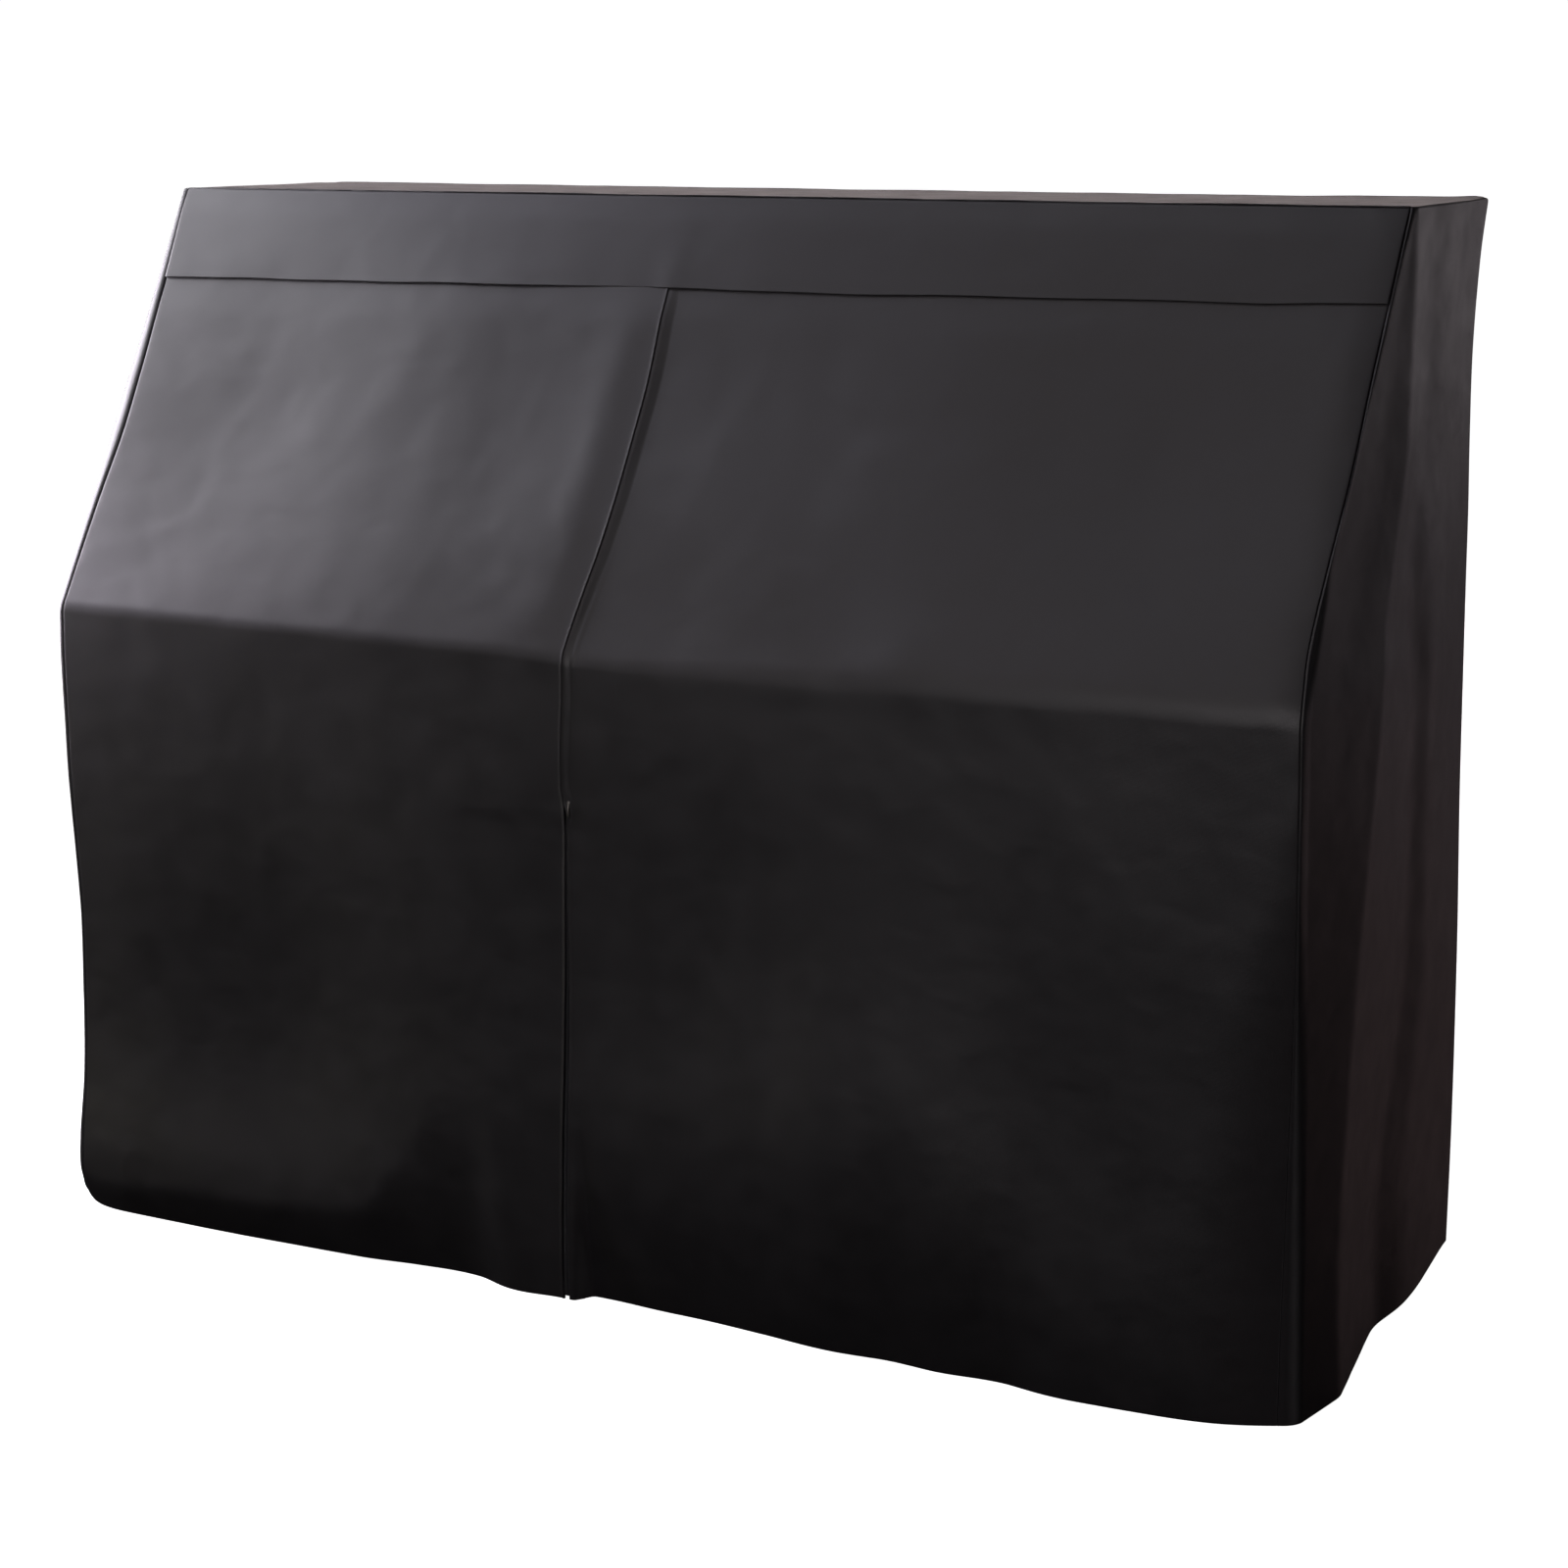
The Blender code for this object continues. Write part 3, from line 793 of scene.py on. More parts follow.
    def lap_over(self, height: float, from_edge: float) -> float:
        """How far the left panel stands off the front beside its lapped edge.

        Args:
            height: Height above the floor.
            from_edge: Distance left of the edge.

        Returns:
            Its lift: a long rise, a soft crest, a fall towards the edge, and a narrow bead along the edge.
        """
        row = self.lap_row(height)
        stand = (row.step + row.fall) * (1.0 - smooth(from_edge / self.lap_rise_wide))
        crest = row.crest * math.exp(-(((from_edge - self.lap_ramp) / self.lap_crest_wide) ** 2))
        fall = row.fall * (1.0 - smooth(from_edge / self.lap_ramp))
        bead = row.bead * math.exp(-((from_edge / self.lap_bead_wide) ** 2))
        return stand + crest - fall + bead

    def lap_under(self, height: float, beyond: float) -> float:
        """How far the right panel stands off the front, sloping down from under the lap to a faint lip.

        Args:
            height: Height above the floor.
            beyond: Distance to the right of the lap's edge.

        Returns:
            How far the right panel stands off.
        """
        row = self.lap_row(height)
        wide = row.slope_to - row.slope_from
        down = soft_bend(beyond - row.slope_from, self.lap_slope_round)
        down -= soft_bend(beyond - row.slope_to, self.lap_slope_round)
        past = (beyond - row.slope_to - self.lap_lip_wide) / self.lap_lip_wide
        lip_shut = min(1.0, row.step / self.lap_lip_step)
        gap = mix(*self.lap_under_gap, smooth((height - self.lap_gap_from) / self.lap_gap_over))
        high = max(0.0, row.step - gap) * (1.0 - down / wide)
        return high + row.lip * lip_shut * math.exp(-past * past)

    def parted_bead(self, height: float, from_edge: float) -> float:
        """The soft ridge along an edge that has parted over the zip."""
        return self.zip_bead * self.opened(height) * math.exp(-((from_edge / self.zip_bead_wide) ** 2))

    # -- the sides
    @lru_cache(maxsize=None)
    def lead(self, side: Side, height: float) -> tuple:
        """Where the side panel starts to turn the front corner, and the front's slope into it.

        Args:
            side: Which side panel.
            height: Height above the floor.

        Returns:
            The point, and the front's slope there.
        """
        step = 0.003
        seam_x = self.corner_seam_x(side, height)
        seam = self.front(seam_x, height)
        before = self.front(seam_x - side.value * step, height)
        slope = (seam.y - before.y) / step
        return seam + Vector((side.value, slope, 0.0)) * self.seam_lead, slope

    @lru_cache(maxsize=None)
    def hollow(self, side: Side, height: float) -> tuple:
        """The gusset's hollow: how far behind the front corner, how far out, and its rounding.

        Args:
            side: Which side panel.
            height: Height above the floor.

        Returns:
            The three distances.
        """
        cut = self.section(side, height)
        ridge = self.gusset_from_back(side, height) - cut.ridge_from_back
        along, deepest = self.gusset_hollow
        deep = mix(along, deepest, smooth((height - self.key_height) / self.hollow_fade))
        level = mix(cut.gusset_out, cut.ridge_out, deep)
        return ridge * along, level, self.hollow_round * ridge * along

    @lru_cache(maxsize=None)
    def gusset_from_back(self, side: Side, height: float) -> float:
        """How far in front of the back plane the side has finished turning the front corner."""
        start, _ = self.lead(side, height)
        return self.back_y - (start.y + self.section(side, height).corner)

    def front_corner(self, side: Side, height: float, share: float) -> Vector:
        """A point of the turn from the front seam to the side.

        Args:
            side: Which side panel.
            height: Height above the floor.
            share: 0 at the seam, 1 where the side is reached.

        Returns:
            The point.
        """
        cut = self.section(side, height)
        start, slope = self.lead(side, height)
        behind, level, _ = self.hollow(side, height)
        leaving = (level - cut.gusset_out) / behind
        seam = self.front(self.corner_seam_x(side, height) + side.value * self.seam_gap / 2, height)
        flat = self.corner_flat
        if share < flat:
            point = seam.lerp(start, share / flat)
        else:
            reach = self.width / 2 + cut.gusset_out - abs(start.x)
            first = math.atan2(max(slope, 0.0) * reach, cut.corner)
            last = math.pi / 2
            # The angle at the end of the roll and its proportions depend on each other.
            for _ in range(6):
                across = reach / (math.sin(last) - math.sin(first))
                back = cut.corner / (math.cos(first) - math.cos(last))
                last = math.pi / 2 - clamp(math.atan(leaving * back / across), 0.0, 0.9)
            turn = mix(first, last, (share - flat) / (1.0 - flat))
            across *= math.sin(turn) - math.sin(first)
            back *= math.cos(first) - math.cos(turn)
            point = Vector((side.value * (abs(start.x) + across), start.y + back, height))
        away = math.hypot(point.x - seam.x, point.y - seam.y)
        point.y += self.corner_dip(side, height, away)
        return point

    def side_out(self, side: Side, height: float, from_back: float) -> float:
        """How far the side stands out, read through its gusset, ridge, trough, shoulder and back edge.

        Args:
            side: Which side panel.
            height: Height above the floor.
            from_back: Distance forward from the back plane.

        Returns:
            How far the cloth stands outside the side plane.
        """
        cut = self.section(side, height)
        gusset = self.gusset_from_back(side, height)
        run = gusset - from_back
        ridge = gusset - cut.ridge_from_back
        stops = (
            (0.0, cut.gusset_out, 0.0),
            self.hollow(side, height),
            (ridge, cut.ridge_out, self.ridge_round),
            (gusset - cut.trough_from_back, cut.trough_out, self.trough_round),
            (gusset - cut.shoulder_from_back, cut.shoulder_out, self.shoulder_round),
            (gusset - self.back_corner, cut.back_out, 0.0),
        )
        out = cut.gusset_out
        slope = 0.0
        for (at, level, rounding), (to, next_level, _) in zip(stops, stops[1:]):
            next_slope = (next_level - level) / (to - at)
            out += (next_slope - slope) * soft_bend(run - at, max(1e-5, min(rounding, 0.9 * at)))
            slope = next_slope
        fade = smooth(run / self.ripple_fade)
        fade *= smooth((from_back - self.back_corner) / self.back_ripple_fade)
        return out + self.ripple(side.value * self.width, from_back, height) * fade

    def side_face(self, side: Side, height: float, from_back: float) -> Vector:
        """A point on a side panel between its two corners."""
        out = self.side_out(side, height, from_back)
        return Vector((side.value * (self.width / 2 + out), self.back_y - from_back, height))

    def back_corner_turn(self, side: Side, height: float, share: float) -> Vector:
        """A point of the turn from the side to the back seam, which is at a share of 1.

        Args:
            side: Which side panel.
            height: Height above the floor.
            share: 0 at the side, 1 at the back seam.

        Returns:
            The point.
        """
        cut = self.section(side, height)
        plane = self.width / 2 + cut.back_out
        flat = self.back_corner_flat
        turn = math.pi / 2 * min(1.0, share / flat)
        across = plane - (self.seam_inset - self.seam_lead) * (1.0 - math.cos(turn))
        if share > flat:
            across -= (self.seam_lead - self.seam_gap / 2) * (share - flat) / (1.0 - flat)
        back = self.back_y - self.back_corner * (1.0 - math.sin(turn))
        away = across - (plane - self.seam_inset)
        back -= lip(away, self.seam_roll * self.least_roll, self.back_groove) * smooth(share)
        return Vector((side.value * across, back, height))

    # -- the back and the outline
    def back(self, x: float, height: float, off: float = 0.0) -> Vector:
        """A point on the back's outer face.

        Args:
            x: Place along the back.
            height: Height above the floor.
            off: How far the point lies outside the face.

        Returns:
            The point.
        """
        side = Side.RIGHT if x > 0 else Side.LEFT
        edge = abs(self.back_seam_x(side, height))
        folds = sum(f.rise(x, height) for f in BACK_FOLDS)
        folds *= clamp((self.height - height) / self.back_fold_fade)
        relief = (folds + self.ripple(x, 1.0, height)) * (1.0 - (x / edge) ** 2) ** 2
        dip = lip(edge - abs(x), self.seam_roll * self.least_roll, self.back_groove)
        return Vector((x, self.back_y + relief + off - dip, height))

    def lid_relief(self, x: float, y: float) -> float:
        """The lid panel's slight unevenness."""
        return self.ripple(x, y, 2.0)

    def roll_in(self, point: Vector) -> Vector:
        """A wall's point, drawn in where the wall rolls into the lid's seam.

        Args:
            point: A point of a wall's outer face.

        Returns:
            The point, moved.
        """
        dip = lip(self.height - self.lid_seam - point.z, self.lid_roll, self.lid_seam)
        if dip > 0.0:
            middle = self.back_y - self.top_depth / 2
            point.x *= 1.0 - dip / (self.width / 2)
            point.y = middle + (point.y - middle) * (1.0 - dip / (self.top_depth / 2))
        return point

    def settle(self, point: Vector) -> Vector:
        """The same point, drawn up where the hem is off the floor and let down at the lid's soft corners.

        Args:
            point: A point of a wall's outer face.

        Returns:
            The point, moved.
        """
        low = clamp(1.0 - point.z / self.hem_fade)
        high = clamp(1.0 - (self.height - point.z) / self.lid_fade)
        from_back = self.back_y - point.y
        for share, pulls in ((low, HEM_PULLS), (high, LID_PULLS)):
            if share > 0.0:
                for p in pulls:
                    away = math.hypot(point.x - p.x, from_back - p.from_back) / p.reach
                    point.z += p.lift * share * math.exp(-away * away)
        return point

    def levels(self) -> list:
        """Heights of the rows that the walls share, from the lid's seam to the hem.

        Returns:
            The heights, from the top down.
        """
        top = self.height - self.lid_seam
        bend = 0.018
        hem_rows = (0.010, 0.004)
        rows = [top - drop * MM for drop in (0.0, 0.4, 1.2, 2.4, 4.0, 5.0, 8.0)]
        spans = (
            (self.key_height + bend, 0.0062),
            (self.key_height - bend, 0.0021),
            (hem_rows[0], 0.007),
        )
        for stop, gap in spans:
            count = round((rows[-1] - stop) / gap)
            rows += [mix(rows[-1], stop, i / count) for i in range(1, count + 1)]
        return rows + [hem_rows[1]]


# ---- cloth and small parts -----------------------------------------------------------------------------
@dataclass(frozen=True)
class Station:
    """One column or row of a panel.

    The share runs from one edge of the panel to the other; past a turned edge, "back" leads back from the
    fold and "under" lies below the outer face. At a seam, "under" alone is cloth tucked into the seam.
    """

    share: float
    back: float = 0.0
    under: float = 0.0


@dataclass(frozen=True)
class TurnedEdge:
    """Cloth folded back under itself along an edge."""

    radius: float = 0.00105
    back: float = 0.012
    steps: int = 6

    def stations(self) -> list:
        """Stations round the fold and back under the panel.

        Returns:
            The stations, from the fold inwards.
        """
        around = [math.pi * i / self.steps for i in range(self.steps + 1)]
        turned = [(self.radius * (1 - math.sin(a)), self.radius * (1 - math.cos(a))) for a in around]
        fold = [Station(1.0, back, under) for back, under in turned]
        flat = [Station(1.0, self.radius + self.back * s, 2 * self.radius) for s in (0.3, 1.0)]
        return fold + flat


# Cloth tucked into an upright seam, at the start and the end of a panel, and into the lid's seam.
SEAM_TUCK = (Station(0.0, under=0.007), Station(0.0, under=0.0025))
SEAM_TUCK_END = (Station(1.0, under=0.0025), Station(1.0, under=0.007))
LID_TUCK = 0.006


def new_object(name: str, bm: bmesh.types.BMesh) -> bpy.types.Object:
    """Turns a bmesh into a smooth-shaded object at the origin.

    Args:
        name: Name of the piece.
        bm: Its mesh, which is freed.

    Returns:
        The new object.
    """
    mesh = bpy.data.meshes.new(name)
    for face in bm.faces:
        face.smooth = True
    bm.to_mesh(mesh)
    bm.free()
    piece = bpy.data.objects.new(name, mesh)
    bpy.context.scene.collection.objects.link(piece)
    return piece


def lay_sheet(
    name: str,
    across: Sequence[Station],
    down: Sequence[Station],
    place: Callable[[Station, Station], Vector],
    thickness: float,
) -> bpy.types.Object:
    """Lays a grid of cloth on a form and gives it its thickness and a map of its own threads.

    Args:
        name: Name of the piece.
        across: Columns, from left to right as seen from outside.
        down: Rows, from the top down as seen from outside.
        place: Gives the outer face's point for a column and a row.
        thickness: Thickness of the cloth, which is laid inwards.

    Returns:
        The piece, with a UV map in metres along and across its threads.
    """
    columns = len(across) - 1
    rows = len(down) - 1
    bm = bmesh.new()
    bmesh.ops.create_grid(bm, x_segments=columns, y_segments=rows, size=0.5)
    grid = {}
    for vert in bm.verts:
        key = (round((vert.co.x + 0.5) * columns), round((0.5 - vert.co.y) * rows))
        grid[key] = vert
        vert.co = place(across[key[0]], down[key[1]])
    weft = {}
    for row in range(rows + 1):
        run = [0.0]
        for column in range(columns):
            run.append(run[-1] + (grid[column + 1, row].co - grid[column, row].co).length)
        for column in range(columns + 1):
            weft[grid[column, row]] = run[column] - run[-1] / 2
    warp = {}
    for column in range(columns + 1):
        run = 0.0
        warp[grid[column, rows]] = run
        for row in range(rows, 0, -1):
            run += (grid[column, row].co - grid[column, row - 1].co).length
            warp[grid[column, row - 1]] = run
    threads = bm.loops.layers.uv.new("threads")
    for face in bm.faces:
        for loop in face.loops:
            loop[threads].uv = (weft[loop.vert], warp[loop.vert])
    piece = new_object(name, bm)
    cloth = piece.modifiers.new("cloth", "SOLIDIFY")
    cloth.thickness = thickness
    cloth.offset = -1.0
    cloth.use_even_offset = False
    cloth.use_quality_normals = True
    return piece


# ---- finishes ------------------------------------------------------------------------------------------
def linear(colour: str) -> tuple:
    """Turns an sRGB hex colour into linear RGBA."""
    parts = [int(colour[i : i + 2], 16) / 255 for i in (1, 3, 5)]
    return tuple(c / 12.92 if c <= 0.04045 else ((c + 0.055) / 1.055) ** 2.4 for c in parts) + (1.0,)


def add_node(
    tree: bpy.types.NodeTree,
    kind: str,
    settings: dict = None,
    links: dict = None,
) -> bpy.types.Node:
    """Adds one node with its settings, socket values and incoming links.

    Args:
        tree: The material's node tree.
        kind: The node's type name.
        settings: Node properties, and values of its input sockets by socket name or number.
        links: Output sockets to join, by input socket name or number.

    Returns:
        The new node.
    """
    node = tree.nodes.new(kind)
    for name, value in (settings or {}).items():
        if isinstance(name, str) and hasattr(node, name):
            setattr(node, name, value)
        else:
            node.inputs[name].default_value = value
    for name, output in (links or {}).items():
        tree.links.new(output, node.inputs[name])
    return node


def new_material(name: str) -> tuple:
    """A material with an empty node tree and its output node.

    Args:
        name: The material's name.

    Returns:
        The material, its node tree and its output node.
    """
    material = bpy.data.materials.new(name)
    material.use_nodes = True
    tree = material.node_tree
    tree.nodes.clear()
    return material, tree, add_node(tree, "ShaderNodeOutputMaterial")


@dataclass(frozen=True)
class CoatedCloth:
    """Woven polyester with a satin polyurethane coating, calendered: near-black with a soft sheen."""

    dark: str = "#1b1a1c"
    light: str = "#242326"
    roughness_low: float = 0.38
    roughness_high: float = 0.50
    specular: float = 0.5
    thread: float = 0.0012
    grain: float = 0.0011
    mottle: float = 0.045
    dent: float = 0.055
    dent_bump: float = 0.0008
    thread_bump: float = 0.00004
    grain_bump: float = 0.00010

    def material(self) -> bpy.types.Material:
        """Makes the coated cloth.

        The coating's fine grain breaks the sheen into a faint speckle, the threads below it show as a faint
        rib, and wide soft mottling and shallow dents keep large areas from looking painted. The threads
        are really 0.4 mm apart and the grain 0.3 mm wide; both are drawn coarser so that they show.

        Returns:
            The material.
        """
        material, tree, output = new_material("polyester_cloth_satin_coated")
        place = add_node(tree, "ShaderNodeTexCoord")
        mottle = add_node(
            tree,
            "ShaderNodeTexNoise",
            {"Scale": 1 / self.mottle, "Detail": 4.0, "Roughness": 0.6},
            {"Vector": place.outputs["Object"]},
        )
        grain = add_node(
            tree,
            "ShaderNodeTexNoise",
            {"Scale": 1 / self.grain, "Detail": 2.0, "Roughness": 0.7},
            {"Vector": place.outputs["Object"]},
        )
        colour = add_node(tree, "ShaderNodeMix", {"data_type": "RGBA"})
        colour.inputs[6].default_value = linear(self.dark)
        colour.inputs[7].default_value = linear(self.light)
        tree.links.new(mottle.outputs["Fac"], colour.inputs[0])
        wear = add_node(
            tree,
            "ShaderNodeMath",
            {"operation": "MULTIPLY_ADD", 1: 0.5, 2: 0.0},
            {0: grain.outputs["Fac"]},
        )
        both = add_node(
            tree,
            "ShaderNodeMath",
            {"operation": "MULTIPLY_ADD", 1: 0.5},
            {0: mottle.outputs["Fac"], 2: wear.outputs[0]},
        )
        rough = add_node(
            tree,
            "ShaderNodeMapRange",
            {"From Min": 0.3, "From Max": 0.7, "To Min": self.roughness_low, "To Max": self.roughness_high},
            {"Value": both.outputs[0]},
        )
        threads = add_node(tree, "ShaderNodeUVMap", {"uv_map": "threads"})
        ribs = []
        for direction in ("X", "Y"):
            ribs.append(
                add_node(
                    tree,
                    "ShaderNodeTexWave",
                    {
                        "wave_type": "BANDS",
                        "bands_direction": direction,
                        "Scale": math.pi / (10 * self.thread),
                        "Distortion": 1.2,
                        "Detail": 1.0,
                        "Detail Scale": 2.0,
                    },
                    {"Vector": threads.outputs["UV"]},
                )
            )
        weave = add_node(
            tree,
            "ShaderNodeMath",
            {"operation": "MULTIPLY"},
            {0: ribs[0].outputs["Fac"], 1: ribs[1].outputs["Fac"]},
        )
        level = add_node(
            tree,
            "ShaderNodeMapping",
            {"Scale": (1.0, 1.0, 1.5)},
            {"Vector": place.outputs["Object"]},
        )
        dents = add_node(
            tree,
            "ShaderNodeTexNoise",
            {"Scale": 1 / self.dent, "Detail": 1.2, "Roughness": 0.45, "Distortion": 0.3},
            {"Vector": level.outputs["Vector"]},
        )
        dent_bump = add_node(
            tree,
            "ShaderNodeBump",
            {"Strength": 1.0, "Distance": self.dent_bump},
            {"Height": dents.outputs["Fac"]},
        )
        rib_bump = add_node(
            tree,
            "ShaderNodeBump",
            {"Strength": 1.0, "Distance": self.thread_bump},
            {"Height": weave.outputs[0], "Normal": dent_bump.outputs["Normal"]},
        )
        grain_bump = add_node(
            tree,
            "ShaderNodeBump",
            {"Strength": 1.0, "Distance": self.grain_bump},
            {"Height": grain.outputs["Fac"], "Normal": rib_bump.outputs["Normal"]},
        )
        shader = add_node(
            tree,
            "ShaderNodeBsdfPrincipled",
            {"IOR": 1.5, "Specular IOR Level": self.specular},
            {
                "Base Color": colour.outputs[2],
                "Roughness": rough.outputs["Result"],
                "Normal": grain_bump.outputs["Normal"],
            },
        )
        tree.links.new(shader.outputs[0], output.inputs["Surface"])
        return material


@dataclass(frozen=True)
class ZipTapeWeave:
    """Woven polyester zip tape: matt black with a fine herringbone."""

    dark: str = "#232326"
    light: str = "#2d2d31"
    rib_gap: float = 0.00288
    roughness: float = 0.8
    bump: float = 0.00012

    def material(self) -> bpy.types.Material:
        """Makes the tape: slanting ribs every 2.9 mm of its width, drawn wider than real ones to show.

        Returns:
            The material.
        """
        material, tree, output = new_material("polyester_zip_tape_woven")
        threads = add_node(tree, "ShaderNodeUVMap", {"uv_map": "threads"})
        twill = add_node(
            tree,
            "ShaderNodeTexWave",
            {
                "wave_type": "BANDS",
                "bands_direction": "DIAGONAL",
                "Scale": math.pi / (5 * self.rib_gap),
                "Distortion": 0.6,
                "Detail": 1.0,
            },
            {"Vector": threads.outputs["UV"]},
        )
        colour = add_node(tree, "ShaderNodeMix", {"data_type": "RGBA"}, {0: twill.outputs["Fac"]})
        colour.inputs[6].default_value = linear(self.dark)
        colour.inputs[7].default_value = linear(self.light)
        bump = add_node(tree, "ShaderNodeBump", {"Distance": self.bump}, {"Height": twill.outputs["Fac"]})
        shader = add_node(
            tree,
            "ShaderNodeBsdfPrincipled",
            {"Roughness": self.roughness, "Specular IOR Level": 0.3},
            {"Base Color": colour.outputs[2], "Normal": bump.outputs["Normal"]},
        )
        tree.links.new(shader.outputs[0], output.inputs["Surface"])
        return material


@dataclass(frozen=True)
class ZipNylon:
    """Moulded nylon zip coil, dyed black: small even highlights along the teeth."""

    dark: str = "#1c1c1f"
    light: str = "#29292d"
    roughness: float = 0.45

    def material(self) -> bpy.types.Material:
        """Makes the coil: a slight unevenness of dye, 2 mm across, keeps the teeth from looking cloned.

        Returns:
            The material.
        """
        material, tree, output = new_material("nylon_zip_coil_moulded")
        place = add_node(tree, "ShaderNodeTexCoord")
        dye = add_node(
            tree, "ShaderNodeTexNoise", {"Scale": 500.0, "Detail": 2.0}, {"Vector": place.outputs["Object"]}
        )
        colour = add_node(tree, "ShaderNodeMix", {"data_type": "RGBA"}, {0: dye.outputs["Fac"]})
        colour.inputs[6].default_value = linear(self.dark)
        colour.inputs[7].default_value = linear(self.light)
        shader = add_node(
            tree,
            "ShaderNodeBsdfPrincipled",
            {"Roughness": self.roughness, "IOR": 1.53},
            {"Base Color": colour.outputs[2]},
        )
        tree.links.new(shader.outputs[0], output.inputs["Surface"])
        return material


@dataclass(frozen=True)
class ZipMetal:
    """Die-cast zinc, nickel-plated and tumbled: a dull dark metal, brighter where it is rubbed."""

    plate: str = "#6f6d6b"
    worn: str = "#94918d"
    roughness_low: float = 0.28
    roughness_high: float = 0.5

    def material(self) -> bpy.types.Material:
        """Makes the metal: tumbling leaves 1 mm blotches of duller plate.

        Returns:
            The material.
        """
        material, tree, output = new_material("zinc_nickel_plated_tumbled")
        place = add_node(tree, "ShaderNodeTexCoord")
        rub = add_node(
            tree,
            "ShaderNodeTexNoise",
            {"Scale": 1000.0, "Detail": 3.0},
            {"Vector": place.outputs["Object"]},
        )
        colour = add_node(tree, "ShaderNodeMix", {"data_type": "RGBA"}, {0: rub.outputs["Fac"]})
        colour.inputs[6].default_value = linear(self.plate)
        colour.inputs[7].default_value = linear(self.worn)
        rough = add_node(
            tree,
            "ShaderNodeMapRange",
            {"To Min": self.roughness_low, "To Max": self.roughness_high},
            {"Value": rub.outputs["Fac"]},
        )
        shader = add_node(
            tree,
            "ShaderNodeBsdfPrincipled",
            {"Metallic": 1.0},
            {"Base Color": colour.outputs[2], "Roughness": rough.outputs["Result"]},
        )
        tree.links.new(shader.outputs[0], output.inputs["Surface"])
        return material


# ---- sub-assemblies ------------------------------------------------------------------------------------
@dataclass
class ClothPanel:
    """What every sewn panel has: the form it hangs in, its cloth and the way its edges are turned."""

    form: CoverForm
    cloth: bpy.types.Material
    thickness: float = 0.0009
    spacing: float = 0.0065
    seam_spacing: float = 0.0010
    seam_allowance: float = 0.010
    hem_allowance: float = 0.020
    turn: TurnedEdge = field(default_factory=TurnedEdge)
    hem: TurnedEdge = field(default_factory=lambda: TurnedEdge(back=0.020))

    def wall_rows(self, top: float) -> list:
        """Rows of a wall from a height down to its turned hem; a row's share is its height in metres."""
        rows = [Station(height) for height in self.form.levels() if height <= top]
        return rows + [Station(0.0, edge.back, edge.under) for edge in self.hem.stations()]

    def dress(
        self,
        piece: bpy.types.Object,
        node: str,
        flat: tuple,
        area: float,
        rests_on: Sequence[str],
    ) -> None:
        """Gives a piece its cloth, hangs it on the body, hides the solid that it stands for and logs its
        face count.

        Args:
            piece: The finished piece.
            node: The solid that it stands for.
            flat: Width and length that it was cut to; not used.
            area: Area of the cut; not used.
            rests_on: What it hangs from; not used.
        """
        piece.data.materials.append(self.cloth)
        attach(piece, BODY)
        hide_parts(node)
        LOG.info("%s: %d faces", piece.name, len(piece.data.polygons))


